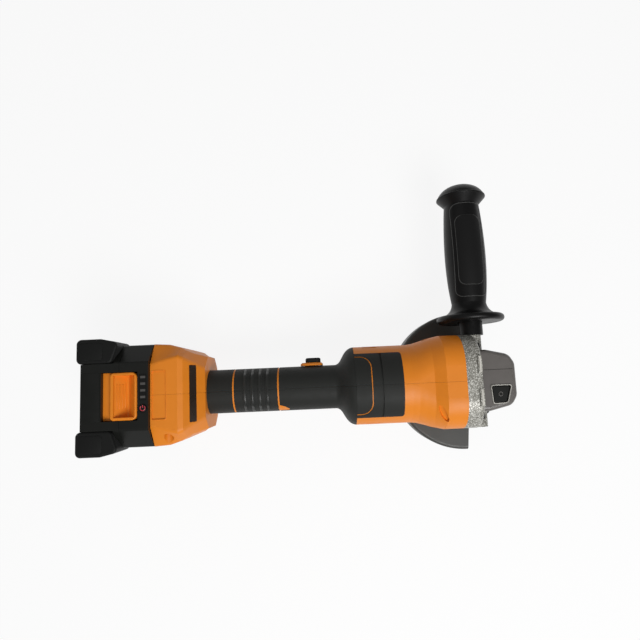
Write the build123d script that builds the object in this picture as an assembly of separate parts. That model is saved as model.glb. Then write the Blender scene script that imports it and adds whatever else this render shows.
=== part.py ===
from build123d import *
import math
import os

# Cordless angle grinder. Lengths are in mm. X runs forward along the motor axis, Y to the tool's left
# and Z up along the spindle axis, which stands at X = 0, Y = 0. The pieces are drawn with Z = 0 on the
# motor axis and raised at the end, so that Z = 0 lies on the spindle's lower end face.

# Fits
SEAM_GAP = 0.12  # between the two body shells
RUN_FIT = 0.05  # radial gap of a turning or sliding fit
FREE_GAP = 0.35  # gap around a piece that moves freely
PART_GAP = 0.2  # gap between pieces that are assembled side by side

# Heights measured from the motor axis
REST_Z = -66.0
SPINDLE_TIP_Z = REST_Z + 1.0

# Body shells and grip
SHELL_WALL = 2.6
SKIN = 1.6  # thickness of the soft overmould on the grip
GRIP_REAR_X = -230.0
GRIP_FRONT_X = -122.0
GRIP_WIDTH = 37.2
GRIP_HEIGHT = 41.0
GRIP_CORNER = 17.6
BARREL_DIAMETER = 66.6
BARREL_FLAT = 1.0  # half-width of the small flats on the barrel
BARREL_REAR_X = -106.0
COLLAR_FLARE_X = -60.0
COLLAR_REAR_X = -31.0
COLLAR_FRONT_X = -18.0
COLLAR_WIDTH = 78.0
COLLAR_TOP_Z = 39.0
COLLAR_CORNER = 26.0
# share of the flare's length, shares of its growth sideways and upwards
GRIP_FLARE = ((0.0, 0.0, 0.0), (0.2, 0.1, 0.1), (0.44, 0.5, 0.5), (0.77, 0.91, 0.91), (1.0, 1.0, 1.0))
COLLAR_FLARE = (
    (0.0, 0.0, 0.0), (0.18, 0.1, 0.02), (0.38, 0.38, 0.06), (0.6, 0.72, 0.14), (0.9, 1.0, 1.0),
    (1.0, 1.0, 1.0),
)

# Battery dock, from the rear face to the grip:
# x, top half-width, top z, side half-width, side top z, side bottom z, bottom half-width, bottom z
DOCK_STATIONS = (
    (-268.0, 24.0, 46.5, 40.8, 35.5, -58.0, 36.0, REST_Z),
    (-256.0, 27.3, 46.5, 40.0, 35.0, -58.0, 35.0, REST_Z),
    (-247.0, 30.0, 46.3, 37.2, 33.5, -50.0, 31.0, -58.0),
    (-243.0, 28.5, 45.0, 34.8, 31.0, -42.0, 28.0, -50.0),
    (-239.5, 26.0, 39.5, 33.0, 27.0, -34.0, 26.0, -42.0),
    (GRIP_REAR_X, 20.0, 24.5, 30.0, 13.0, -14.0, 21.0, -24.5),
)
DOCK_CORNER = 4.0
DOCK_REAR_X = DOCK_STATIONS[0][0]
PLATEAU_Z = DOCK_STATIONS[0][2]
PANEL_X = (-266.7, -256.1)  # shallow recess on the plateau
PANEL_HALF = 18.7
PANEL_DEPTH = 0.9
STRIP_WIDTH = 44.8
STRIP_LENGTH = 7.2
STRIP_THICK = 0.8

# Overmould details
RING_X = (-208.0, -170.4)  # orange rings between the overmould fields
RING_WIDTH = 1.3
RING_DROP = 0.25
RIB_X = (-198.4, -192.1, -185.8, -179.5)
RIB_WIDTH = 3.2
RIB_RISE = 0.8
SADDLE_FRONT_X = -67.2
SADDLE_HALF = 26.5
SADDLE_RISE = 0.5
SADDLE_DEPTH = 1.3
SADDLE_GROOVE_X = -84.6
SADDLE_GROOVE = 1.5
SADDLE_CORNER = 2.4
SADDLE_GROOVE_DEPTH = 0.4  # below the barrel's surface
SADDLE_LINE_X = -92.9  # orange line that borders the grip's part of the saddle
SADDLE_LINE_HALF = 24.0
SADDLE_LINE_WIDTH = 0.8
SADDLE_LINE_CORNER = 9.5

# Shell screws, each at x, z, driven from the right
SHELL_SCREW_PLACES = ((-255.2, 40.4), (-254.0, -44.0), (-221.0, 0.0), (-124.0, 0.0))
SHELL_SCREW_R = 1.5
SHELL_SCREW_LENGTH = 22.0
SCREW_BOSS_R = 4.2
SCREW_HEAD_R = 3.4
SCREW_HEAD_H = 2.4
SCREW_SEAT_Y = 10.0  # distance of the head seats from the middle

# Recess on the right of the collar's slope
LEAF_PLACE = (-37.5, -25.6, 33.8)
LEAF_ALONG = (8.3, -13.0, -6.5)
LEAF_NORMAL = (-0.45, -0.5, 0.8)
LEAF_SIZE = (7.6, 2.9)
LEAF_DEPTH = 3.0
LEAF_BACKING = 1.8  # wall left under and around the recess

# Vents on the barrel's flanks
VENT_COUNT = 5
VENT_PITCH = 5.2
VENT_HEIGHT = 2.4
INTAKE_X = (-98.0, -86.0)

# Bevel gears
TOOTH_MODULE = 1.05
PINION_TEETH = 12
RING_TEETH = 38
PRESSURE_ANGLE = math.radians(20)
TOOTH_FACE = 6.4
BACKLASH = 0.16
TOOTH_SHIFT = 0.3
PINION_ADDENDUM = 1.0 * TOOTH_MODULE
PINION_DEDENDUM = 0.85 * TOOTH_MODULE
RING_ADDENDUM = 0.6 * TOOTH_MODULE
RING_DEDENDUM = 1.25 * TOOTH_MODULE
PINION_R = TOOTH_MODULE * PINION_TEETH / 2
RING_R = TOOTH_MODULE * RING_TEETH / 2
CONE_LENGTH = math.hypot(PINION_R, RING_R)
INNER_SCALE = (CONE_LENGTH - TOOTH_FACE) / CONE_LENGTH
PINION_CONE = math.atan2(PINION_TEETH, RING_TEETH)
RING_HUB_Z = -18.0

# Motor, from the pinion backwards
PINION_BORE_R = 2.4
PINION_HUB_LENGTH = 6.0
FRONT_BEARING = (6.0, 14.0, 8.0)  # bore radius, outer radius, width
REAR_BEARING = (4.0, 11.0, 7.0)
SPINDLE_BEARING = (6.0, 16.0, 10.0)
FRONT_BEARING_X = -RING_R - PINION_HUB_LENGTH - FRONT_BEARING[2]
FAN_R = 28.0
FAN_LENGTH = 11.0
FAN_BLADES = 11
FAN_FRONT_X = FRONT_BEARING_X - 3.0
FAN_REAR_X = FAN_FRONT_X - FAN_LENGTH
STATOR_R = 27.4
STATOR_LENGTH = 30.0
STATOR_TEETH = 6
COIL_OVERHANG = 4.5
STATOR_FRONT_X = FAN_REAR_X - COIL_OVERHANG - 2.0
STATOR_REAR_X = STATOR_FRONT_X - STATOR_LENGTH
ROTOR_R = 12.8
MAGNET_THICK = 1.8
ROTOR_CORE_R = ROTOR_R - MAGNET_THICK
AIR_GAP = 0.5
ROTOR_SEAT_R = 6.0
REAR_BEARING_X = STATOR_REAR_X - COIL_OVERHANG - 13.0

# Gear case
CASE_FRONT_X = -4.8  # front face of the flange
CASE_BOTTOM_Z = -28.0
FLANGE_EDGE = 2.6
NOSE_TOP_Z = 26.0
NOSE_REAR_X = COLLAR_FRONT_X + 8  # inside the flange
NOSE_FRONT_X = 26.3
NOSE_HALF = 25.3
NOSE_TIP_HALF = 13.4
NOSE_CORNER = 9.0
NOSE_EDGE = 3.5
NOSE_COVER = 1.6  # thickness of the cover over the nose
NOSE_LINE_Y = 8.6
TAB_Y = (13.1, -13.1)  # raised tabs on the flange's crest
TAB_HALF = 7.0
TAB_RISE = 0.6
TAB_LENGTH = 3.2
TAB_SLOT = 0.9
CHAMBER_R = RING_R + 1.2
CHAMBER_TOP_Z = 8.0
SPIGOT_R = 30.3
CASE_SCREW_TOP = (27.5, 27.5)  # y, z of the upper corner screws
CASE_SCREW_LOW = (28.5, -20.5)
CASE_SCREW_R = 2.0
CASE_SCREW_HEAD_R = 3.6
CASE_SCREW_HEAD_H = 3.6
CASE_BOSS_R = 4.4
HANDLE_X = -1.0
HANDLE_Z = 2.0
HANDLE_BOSS_R = 8.5
HANDLE_BOSS_FRONT_X = 5.4
HANDLE_FACE_Y = 39.0
HANDLE_THREAD_R = 4.0
HANDLE_THREAD_DEPTH = 14.0

# Spindle lock
LOCK_OUTLINE = ((5.6, -5.1), (20.4, -5.3), (16.6, -17.8), (6.5, -18.2))
LOCK_CAP_TOP_Z = 25.8
LOCK_RIM_RISE = 0.5
LOCK_CAP_THICK = 2.6
LOCK_TRAVEL = 4.0
LOCK_PIN_R = 2.2
LOCK_PIN_PLACE = (8.3, -7.6)
LOCK_PIN_TIP_Z = -3.4
LOCK_HOLE_DEPTH = 7.0
LOCK_HOLES = 4
LOCK_SPRING_PRESSED = 1.8
LOCK_POCKET_Z = LOCK_CAP_TOP_Z - LOCK_CAP_THICK - LOCK_TRAVEL - LOCK_SPRING_PRESSED
LOCK_SPRING_R = 2.75
LOCK_SPRING_WIRE = 0.22
LOCK_SPRING_TURNS = 3

# Spindle, bearing plate, flanges
SPINDLE_TOP_R = 5.0
SPINDLE_GEAR_R = 6.5
SPINDLE_THREAD_R = 7.0
THREAD_RELIEF = 0.5  # width of the groove between the free end and the nut
THREAD_RELIEF_R = 6.4
SPINDLE_SHANK_R = 6.9  # under the nut and the inner flange
BUSH_R = 7.6
BUSH_LENGTH = 7.0
PLATE_THICK = 6.0
PLATE_HALF = 31.0
PLATE_FRONT_X = 23.0
PLATE_CORNER = (9.0, 17.0)  # rear, front
PLATE_SCREW_PLACES = ((-11.0, 25.0), (-11.0, -25.0), (14.0, 18.8), (14.0, -18.8))
PLATE_SCREW_R = 1.6
PLATE_SCREW_HEAD_R = 3.0
PLATE_SCREW_HEAD_H = 3.0
PLATE_SCREW_BITE = 4.5
PLATE_COLLAR_R = 21.0
PLATE_COLLAR_LENGTH = 12.0
SEAL_THICK = 2.0
FLANGE_R = 20.5
FLANGE_THICK = 5.0
PILOT_R = 11.1
PILOT_LENGTH = 3.0
NUT_R = 20.0
NUT_THICK = 5.0
NUT_PIN_HOLE_R = 2.6
NUT_PIN_CIRCLE_R = 15.0

# Guard
GUARD_R = 64.5
GUARD_SHEET = 1.8
GUARD_EDGE_X = 7.6
GUARD_REST_TURN = -5.5
GUARD_LIP = 4.0
GUARD_ROUND = 3.0
BAND_THICK = 2.2
BAND_HEIGHT = 9.5
BAND_FIT = 0.1
EAR_ANGLE = -52.0
EAR_REACH = 37.0
EAR_THICK = 2.4
EAR_GAP = 3.0
CLAMP_SCREW_R = 2.5
CLAMP_HEAD = (4.2, 4.0)  # radius, height
CLAMP_NUT = (4.4, 4.0)  # radius, height
CLAMP_SCREW_SPARE = 7.0  # length past the ears

# Side handle, as radius and distance from the tool's middle
HANDLE_FOOT_R = 10.0
HANDLE_FLANGE_R = 28.7
HANDLE_NECK_R = 14.7
HANDLE_BELLY_R = 17.6
HANDLE_WAIST_R = 15.2
HANDLE_KNOB_R = 21.4
HANDLE_FLANGE_Y = 50.5
HANDLE_NECK_Y = 67.5
HANDLE_BELLY_Y = 108.0
HANDLE_WAIST_Y = 156.5
HANDLE_KNOB_Y = 163.4
HANDLE_END_Y = 175.4
HANDLE_PAD_Y = (82.0, 143.5)
HANDLE_PAD_HALF = 10.5
HANDLE_PAD_CORNER = 7.0
HANDLE_PAD_RISE = 0.4
HANDLE_PAD_SINK = 0.8
STUD_LENGTH = 44.0

# Switch on the left of the grip
SWITCH_X = (-151.5, -132.2)
SWITCH_HEIGHT = 17.0
SWITCH_PLATE = 2.4
SWITCH_PAD_X = (-147.2, -134.1)
SWITCH_PAD_RISE = 4.2
SWITCH_TRAVEL = 6.0
SWITCH_STEM = (8.0, 5.4)  # along X, along Z

# Battery
BATTERY_REAR_X = -321.0
BATTERY_FRONT_X = DOCK_REAR_X - FREE_GAP
BATTERY_SPLIT_X = -291.0
BATTERY_HALF = 40.5
BATTERY_TOP_HALF = 25.8
BATTERY_SHOULDER_Z = 36.0
BATTERY_TOP_Z = 50.0
BATTERY_BOTTOM_Z = REST_Z + 2.0
BATTERY_WALL = 2.4
BATTERY_CORNER = 3.0
CELL_R = 9.2
CELL_LENGTH = 65.0
CELL_ROWS = 5
CELL_PITCH = 2 * CELL_R + 0.2
RAIL_Y = 22.0
RAIL_NECK = 5.0
RAIL_HEAD = 10.0
RAIL_NECK_DEPTH = 6.0
RAIL_HEAD_DEPTH = 3.0
RAIL_TOP_Z = 22.0
TERMINAL_HALF = 14.0
TERMINAL_TOP_Z = 20.0
LATCH_X = (-305.0, -277.0)
LATCH_HALF = 18.4
LATCH_FRAME_X = -298.0
LATCH_TRAVEL = 4.5
LATCH_LOW_Z = BATTERY_TOP_Z - 4.5
LATCH_FLOOR_Z = BATTERY_TOP_Z - 12.0
LATCH_TAIL = 6.0  # how far the latch reaches under the case
LATCH_TAIL_ROOM = 2.0  # behind the pulled latch
LATCH_RISE = 0.8
LATCH_CORNER = (3.0, 4.5)  # rear, front
LATCH_EDGE = 1.2
SCOOP_RIM = (2.6, 1.6)  # rear, front
SCOOP_SIDE_RIM = 2.2
SCOOP_DEPTH = 8.0
SCOOP_SLOPE = 8.0  # length of the slope behind the scoop's floor
SCOOP_FLOOR = 1.5
SCOOP_LEAN = 0.6
LATCH_BORE = 11.0  # length of the spring's bore
LATCH_BORE_ROOM = 0.6
LATCH_SPRING_R = 2.0
LATCH_SPRING_WIRE = 0.35
LATCH_SPRING_TURNS = 6
BUMPER_REAR_X = -325.0
BUMPER_HALF = 45.5
BUMPER_INNER = 26.0
BUMPER_HEIGHT = 28.0
BUMPER_FRONT_X = BATTERY_SPLIT_X - 6.5
BUMPER_CORNER = 4.0
BUMPER_SIDE = 19.0  # length of the straight side
BUMPER_EDGE = 1.8
BUMPER_SEAT = 4.0  # depth of the seat in the case's top
BATTERY_SCREW_R = 1.3
BATTERY_SCREW_HEAD = (2.1, 1.8)  # radius, height
BATTERY_SCREW_WELL = (2.2, 3.0)  # radius, depth
BATTERY_SCREW_BITE = 8.0
BATTERY_BOSS_R = 2.6
BATTERY_SCREW_Z = 36.0  # from the top and from the bottom
GAUGE_X = -272.5
GAUGE_LED_Y = (14.3, 9.2, 4.1, -1.0)
GAUGE_LED = (3.9, 1.8)  # along X, along Y
GAUGE_RIM = (0.5, 1.3)
GAUGE_WINDOW_THICK = 1.2
GAUGE_LED_RISE = 0.1
GAUGE_LED_SINK = 0.8
GAUGE_BUTTON_Y = -9.5
GAUGE_BUTTON_R = 2.9
GAUGE_BUTTON_RISE = 0.5
GAUGE_BUTTON_TRAVEL = 0.8
GAUGE_BUTTON_LOW_Z = BATTERY_TOP_Z - 4.0

# Derived places
BARREL_R = BARREL_DIAMETER / 2
CAVITY_R = BARREL_R - SHELL_WALL
PLATE_BOTTOM_Z = CASE_BOTTOM_Z - PLATE_THICK
COLLAR_END_Z = PLATE_BOTTOM_Z - PLATE_COLLAR_LENGTH
SPINDLE_BEARING_Z = COLLAR_END_Z + SEAL_THICK
FLANGE_TOP_Z = COLLAR_END_Z - 1.2
SEAT_Z = FLANGE_TOP_Z - FLANGE_THICK
PILOT_END_Z = SEAT_Z - PILOT_LENGTH
NUT_TOP_Z = PILOT_END_Z - PART_GAP
BAND_R = PLATE_COLLAR_R + BAND_FIT + BAND_THICK
BAND_TOP_Z = PLATE_BOTTOM_Z - 1.5
BAND_LOW_Z = BAND_TOP_Z - BAND_HEIGHT
GUARD_TOP_Z = BAND_LOW_Z + GUARD_SHEET
SWITCH_FACE_Y = GRIP_WIDTH / 2 + FREE_GAP
STEM_MID_X = SWITCH_X[0] + 8.0
CELL_LOW_Z = BATTERY_BOTTOM_Z + BATTERY_WALL + CELL_R + 1.0
CELL_REAR_X = BATTERY_REAR_X + BATTERY_WALL + CELL_R + PART_GAP
CELL_FRONT_X = CELL_REAR_X + CELL_PITCH
CELLS_TOP_Z = CELL_LOW_Z + (CELL_ROWS - 1) * CELL_PITCH + CELL_R
CELL_SPACE_X = CELL_FRONT_X + CELL_R + PART_GAP


# Small helpers
def section(x, width, height, corner, z_mid=0.0):
    """A rounded rectangle square to the motor axis."""
    return Plane.YZ.offset(x) * Pos(0, z_mid) * RectangleRounded(width, height, corner)


def block(x0, x1, y0, y1, z0, z1):
    """A box given by its six faces."""
    return Pos((x0 + x1) / 2, (y0 + y1) / 2, (z0 + z1) / 2) * Box(x1 - x0, y1 - y0, z1 - z0)


def slab(x0, x1):
    """All space between two planes square to the motor axis."""
    return block(x0, x1, -200, 200, -200, 200)


def along_x(radius, x0, x1, y=0.0, z=0.0):
    """A cylinder along the motor axis."""
    return Pos((x0 + x1) / 2, y, z) * Rot(0, 90, 0) * Cylinder(radius, x1 - x0)


def along_y(radius, y0, y1, x=0.0, z=0.0):
    """A cylinder across the tool."""
    return Pos(x, (y0 + y1) / 2, z) * Rot(90, 0, 0) * Cylinder(radius, y1 - y0)


def along_z(radius, z0, z1, x=0.0, y=0.0):
    """A cylinder along the spindle."""
    return Pos(x, y, (z0 + z1) / 2) * Cylinder(radius, z1 - z0)


def prism(outline, z0, z1):
    """A plan outline drawn up from z0 to z1."""
    return extrude(Plane.XY.offset(z0) * outline, z1 - z0, dir=(0, 0, 1))


def plan_rectangle(x0, x1, half, corner):
    """A rounded plan rectangle, the same to both sides of the middle."""
    return Pos((x0 + x1) / 2, 0) * RectangleRounded(x1 - x0, 2 * half, corner)


def half(shape, side):
    """One side of a shape that is split in the tool's middle."""
    keep = block(-400, 100, SEAM_GAP / 2, 200, -200, 200)
    if side < 0:
        keep = block(-400, 100, -200, -SEAM_GAP / 2, -200, 200)
    return shape & keep


def spring(radius, wire, length, turns):
    """A coil along Z from 0 to the length."""
    coil = Helix(pitch=(length - 2 * wire) / turns, height=length - 2 * wire, radius=radius)
    return Pos(0, 0, wire) * sweep(Plane(origin=coil @ 0, z_dir=coil % 0) * Circle(wire), path=coil)


def turned(points, axis_plane, axis):
    """A solid turned from an outline of radius and height."""
    return revolve(axis_plane * Polygon(*points, align=None), axis=axis)


def ball_bearing(sizes):
    """Outer ring with its shields, and inner ring, along Z from 0."""
    bore_r, outer_r, width = sizes
    ring = 0.26 * (outer_r - bore_r)
    shield = 0.12 * width
    inner_r = bore_r + ring
    gap_r = inner_r + RUN_FIT
    outer = along_z(outer_r, 0, width) - along_z(outer_r - ring, shield, width - shield)
    outer -= along_z(gap_r, 0, width)
    inner = along_z(inner_r, 0, width) - along_z(bore_r, 0, width)
    return outer, inner


def screw(head_r, head_h, shank_r, length):
    """A socket screw with its head above Z = 0 and its shank below."""
    body = along_z(head_r, 0, head_h) + along_z(shank_r, -length, 0)
    socket = Pos(0, 0, head_h) * extrude(RegularPolygon(0.5 * head_r, 6), -0.6 * head_h)
    return body - socket


# Body forms
def flare_loft(stations, x0, x1, start, end, inset, ruled=False):
    """A change of section from start to end, each as width, height, corner and middle height."""
    sections = []
    for along, sideways, upwards in stations:
        shares = (sideways, upwards, sideways, upwards)
        width, height, corner, z_mid = [a + share * (b - a) for a, b, share in zip(start, end, shares)]
        x = x0 + along * (x1 - x0)
        sections.append(section(x, width - 2 * inset, height - 2 * inset, corner - inset, z_mid))
    return loft(sections, ruled=ruled)


GRIP_SIZES = (GRIP_WIDTH, GRIP_HEIGHT, GRIP_CORNER, 0.0)
BARREL_SIZES = (BARREL_DIAMETER, BARREL_DIAMETER, BARREL_R - BARREL_FLAT, 0.0)
COLLAR_HEIGHT = COLLAR_TOP_Z + BARREL_R
COLLAR_MID_Z = (COLLAR_TOP_Z - BARREL_R) / 2
COLLAR_SIZES = (COLLAR_WIDTH, COLLAR_HEIGHT, COLLAR_CORNER, COLLAR_MID_Z)


def straight_form(sizes, x0, x1, inset):
    """A straight length of one section."""
    width, height, corner, z_mid = sizes
    return extrude(section(x0, width - 2 * inset, height - 2 * inset, corner - inset, z_mid), x1 - x0)


def grip_form(inset, rear_x=GRIP_REAR_X):
    """The grip and the flare in front of it."""
    straight = straight_form(GRIP_SIZES, rear_x, GRIP_FRONT_X, inset)
    return straight + flare_loft(GRIP_FLARE, GRIP_FRONT_X, BARREL_REAR_X, GRIP_SIZES, BARREL_SIZES, inset)


def barrel_form(inset, front_x=COLLAR_FRONT_X):
    """The motor barrel with the collar that it widens into."""
    barrel = straight_form(BARREL_SIZES, BARREL_REAR_X, COLLAR_FLARE_X, inset)
    flare = flare_loft(COLLAR_FLARE, COLLAR_FLARE_X, COLLAR_REAR_X, BARREL_SIZES, COLLAR_SIZES, inset, True)
    return barrel + flare + straight_form(COLLAR_SIZES, COLLAR_REAR_X, front_x, inset)


def dock_form(inset, corner):
    """The battery dock, lofted through its stations."""
    sections = []
    last = len(DOCK_STATIONS) - 1
    for i, (x, top_half, top_z, side_half, side_top, side_low, low_half, low_z) in enumerate(DOCK_STATIONS):
        right = [
            (top_half - inset / 2, top_z - inset),
            (side_half - inset, side_top - inset / 2),
            (side_half - inset, side_low + inset / 2),
            (low_half - inset / 2, low_z + inset),
        ]
        left = [(-y, z) for y, z in reversed(right)]
        outline = Polygon(*right, *left, align=None)
        shift = inset if i == 0 else -inset if i == last else 0
        sections.append(Plane.YZ.offset(x + shift) * fillet(outline.vertices(), corner))
    return loft(sections, ruled=True)


def saddle_fields():
    """The overmould on top of the barrel: the field behind the orange line and the pad in front of it."""
    shell = straight_form(BARREL_SIZES, BARREL_REAR_X, SADDLE_FRONT_X, -SADDLE_RISE)
    shell -= straight_form(BARREL_SIZES, BARREL_REAR_X - 1, SADDLE_FRONT_X + 1, SADDLE_DEPTH)
    rear = BARREL_REAR_X - 20
    line_in = SADDLE_LINE_WIDTH
    edge = plan_rectangle(rear, SADDLE_FRONT_X, SADDLE_HALF, SADDLE_CORNER)
    line = plan_rectangle(rear, SADDLE_LINE_X + line_in / 2, SADDLE_LINE_HALF, SADDLE_LINE_CORNER)
    field = plan_rectangle(
        rear, SADDLE_LINE_X - line_in / 2, SADDLE_LINE_HALF - line_in, SADDLE_LINE_CORNER - line_in
    )
    return shell & prism(field, 0, 60), shell & prism(edge - line, 0, 60)


def saddle_groove():
    """The groove across the saddle's front pad."""
    groove = along_x(BARREL_R + 2, SADDLE_GROOVE_X - SADDLE_GROOVE / 2, SADDLE_GROOVE_X + SADDLE_GROOVE / 2)
    return groove - along_x(BARREL_R - SADDLE_GROOVE_DEPTH, SADDLE_GROOVE_X - 1, SADDLE_GROOVE_X + 1)


def overmould():
    """All soft fields of both sides, still whole across the seam."""
    skin = grip_form(0) - grip_form(SKIN)
    for x in RING_X:
        skin -= slab(x - RING_WIDTH / 2, x + RING_WIDTH / 2)
    ribs = grip_form(-RIB_RISE) - grip_form(SKIN)
    ribs &= prism(plan_rectangle(RING_X[0], RING_X[1], 0.36 * GRIP_WIDTH, 2.0), 0, 40)
    for x in RIB_X:
        skin += ribs & slab(x - RIB_WIDTH / 2, x + RIB_WIDTH / 2)
    patch = Plane.XZ * Polygon(
        (RING_X[1] - 0.5, 6.0), (RING_X[1] + 8.0, 7.0), (RING_X[1] + 8.5, 11.0), (RING_X[1] + 5.0, 14.0),
        (RING_X[1] + 0.5, 15.5), align=None,
    )
    skin -= extrude(patch, 60, dir=(0, -1, 0))
    field, pad = saddle_fields()
    return skin + field, pad


def inner_ribs():
    """Screw tubes, stator ribs, the rear bearing's web and the leaf's backing, which reach past the wall."""
    ribs = []
    for x, z in SHELL_SCREW_PLACES:
        ribs.append(along_y(SCREW_BOSS_R, -60, 60, x, z))
    for side in (1, -1):
        for y, z in (CASE_SCREW_TOP, CASE_SCREW_LOW):
            ribs.append(along_x(CASE_BOSS_R, COLLAR_FRONT_X - 14, COLLAR_FRONT_X, side * y, z))
    for x in (STATOR_REAR_X + 2, STATOR_FRONT_X - 5):
        ribs.append(along_x(CAVITY_R + 1, x, x + 3) - along_x(STATOR_R, x, x + 3))
    web_x = (REAR_BEARING_X, REAR_BEARING_X + REAR_BEARING[2])
    web = along_x(BARREL_R, *web_x) - along_x(REAR_BEARING[1], *web_x)
    for side in (1, -1):
        web -= along_x(4.0, web_x[0] - 1, web_x[1] + 1, side * 17.0, 0)
    return [*ribs, web, leaf(LEAF_BACKING)]


def shell_pair(soft, pad):
    """Both body shells, before the split."""
    outer = dock_form(0, DOCK_CORNER) + grip_form(SKIN) + barrel_form(0)
    cavity = dock_form(SHELL_WALL, DOCK_CORNER / 2)
    cavity += grip_form(SKIN + SHELL_WALL, GRIP_REAR_X - SHELL_WALL - 1)
    cavity += barrel_form(SHELL_WALL, COLLAR_FRONT_X + 1)
    cavity -= inner_ribs()
    rings = grip_form(RING_DROP) - grip_form(SKIN)
    shown = [rings & slab(x - RING_WIDTH / 2, x + RING_WIDTH / 2) for x in RING_X]
    shown.append((rings - soft) & block(RING_X[1], RING_X[1] + 12, -60, 0, 0, 20))
    holes = []
    for side in (1, -1):
        for y, z in (CASE_SCREW_TOP, CASE_SCREW_LOW):
            holes.append(along_x(CASE_SCREW_R, COLLAR_FRONT_X - 12, COLLAR_FRONT_X + 1, side * y, z))
    return (outer - cavity) + shown - [soft, pad, *holes]


def dock_fittings(shell):
    """Adds the battery rails and cuts the recess, the strip's seat and the terminal opening."""
    rail_low = BATTERY_BOTTOM_Z + 6
    for side in (1, -1):
        neck_x = DOCK_REAR_X - RAIL_NECK_DEPTH
        y = side * RAIL_Y
        shell += block(neck_x, DOCK_REAR_X, y - RAIL_NECK / 2, y + RAIL_NECK / 2, rail_low, RAIL_TOP_Z)
        shell += block(
            neck_x - RAIL_HEAD_DEPTH, neck_x, y - RAIL_HEAD / 2, y + RAIL_HEAD / 2, rail_low, RAIL_TOP_Z
        )
    recess = plan_rectangle(PANEL_X[0], PANEL_X[1], PANEL_HALF, 1.0)
    shell -= prism(recess, PLATEAU_Z - PANEL_DEPTH, PLATEAU_Z + 5)
    opening = TERMINAL_HALF + PART_GAP
    shell -= block(
        DOCK_REAR_X - 1, DOCK_REAR_X + SHELL_WALL + 1, -opening, opening, -TERMINAL_TOP_Z - PART_GAP,
        TERMINAL_TOP_Z + PART_GAP,
    )
    return shell - strip_solid(STRIP_THICK, PART_GAP)


def strip_plane():
    """The slope in front of the plateau, where the dark strip lies."""
    low, high = DOCK_STATIONS[-1], DOCK_STATIONS[-2]
    slope = Vector(high[0] - low[0], 0, high[2] - low[2]).normalized()
    start = Vector(high[0], 0, high[2])
    mid = start - slope * (STRIP_LENGTH / 2 + 0.6)
    normal = Vector(-slope.Z, 0, slope.X) * -1
    return Plane(origin=mid, x_dir=(0, 1, 0), z_dir=normal)


def strip_solid(thick, margin):
    """The dark strip, sunk into the slope."""
    outline = RectangleRounded(STRIP_WIDTH + 2 * margin, STRIP_LENGTH + 2 * margin, 0.8)
    plane = strip_plane()
    return extrude(plane.offset(-thick) * outline, thick + (1.0 if margin else 0.15))


def vents():
    """Air slots in both flanks: intake behind the motor, exhaust around the fan."""
    slots = []
    for x0, x1 in (INTAKE_X, (FAN_REAR_X + 1, FAN_FRONT_X - 1)):
        for i in range(VENT_COUNT):
            z = (i - (VENT_COUNT - 1) / 2) * VENT_PITCH
            for side in (1, -1):
                y0, y1 = sorted((side * 0.75 * BARREL_R, side * 60.0))
                slots.append(block(x0, x1, y0, y1, z - VENT_HEIGHT / 2, z + VENT_HEIGHT / 2))
    return slots


def cut_switch_slot(shape):
    """Cuts the slot that the switch stem runs in, on the left."""
    x0 = STEM_MID_X - SWITCH_STEM[0] / 2 - FREE_GAP
    x1 = STEM_MID_X + SWITCH_STEM[0] / 2 + SWITCH_TRAVEL + FREE_GAP
    z = SWITCH_STEM[1] / 2 + FREE_GAP
    return shape - block(x0, x1, 5, 40, -z, z)


def screw_holes():
    """Head wells on the right and screw holes through both shells."""
    holes = []
    for x, z in SHELL_SCREW_PLACES:
        seat = -SCREW_SEAT_Y
        holes.append(along_y(SCREW_HEAD_R + PART_GAP, -60, seat, x, z))
        holes.append(along_y(SHELL_SCREW_R, seat, seat + SHELL_SCREW_LENGTH, x, z))
    return holes


def leaf(grow):
    """The leaf-shaped recess on the right of the collar's slope, made wider and deeper by grow."""
    plane = Plane(origin=LEAF_PLACE, x_dir=LEAF_ALONG, z_dir=LEAF_NORMAL)
    outline = Ellipse(LEAF_SIZE[0] + grow, LEAF_SIZE[1] + grow)
    return extrude(plane.offset(-LEAF_DEPTH - grow) * outline, 10)


def body():
    """Shells, overmould, screws and strip."""
    soft, pad = overmould()
    shell = shell_pair(soft, pad)
    shell = dock_fittings(shell) - [*vents(), *screw_holes(), leaf(0)]
    soft -= screw_holes()
    pad -= saddle_groove()
    left = cut_switch_slot(half(shell, 1))
    screws = []
    for x, z in SHELL_SCREW_PLACES:
        one = screw(SCREW_HEAD_R, SCREW_HEAD_H, SHELL_SCREW_R, SHELL_SCREW_LENGTH)
        screws.append(Pos(x, -SCREW_SEAT_Y, z) * Rot(90, 0, 0) * one)
    return {
        "body_shell_left": left,
        "body_shell_right": half(shell, -1),
        "grip_skin_left": cut_switch_slot(half(soft, 1)),
        "grip_skin_right": half(soft, -1),
        "saddle_pad_left": half(pad, 1),
        "saddle_pad_right": half(pad, -1),
        "shell_screws": screws,
        "status_strip": strip_solid(STRIP_THICK, 0),
    }


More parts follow.
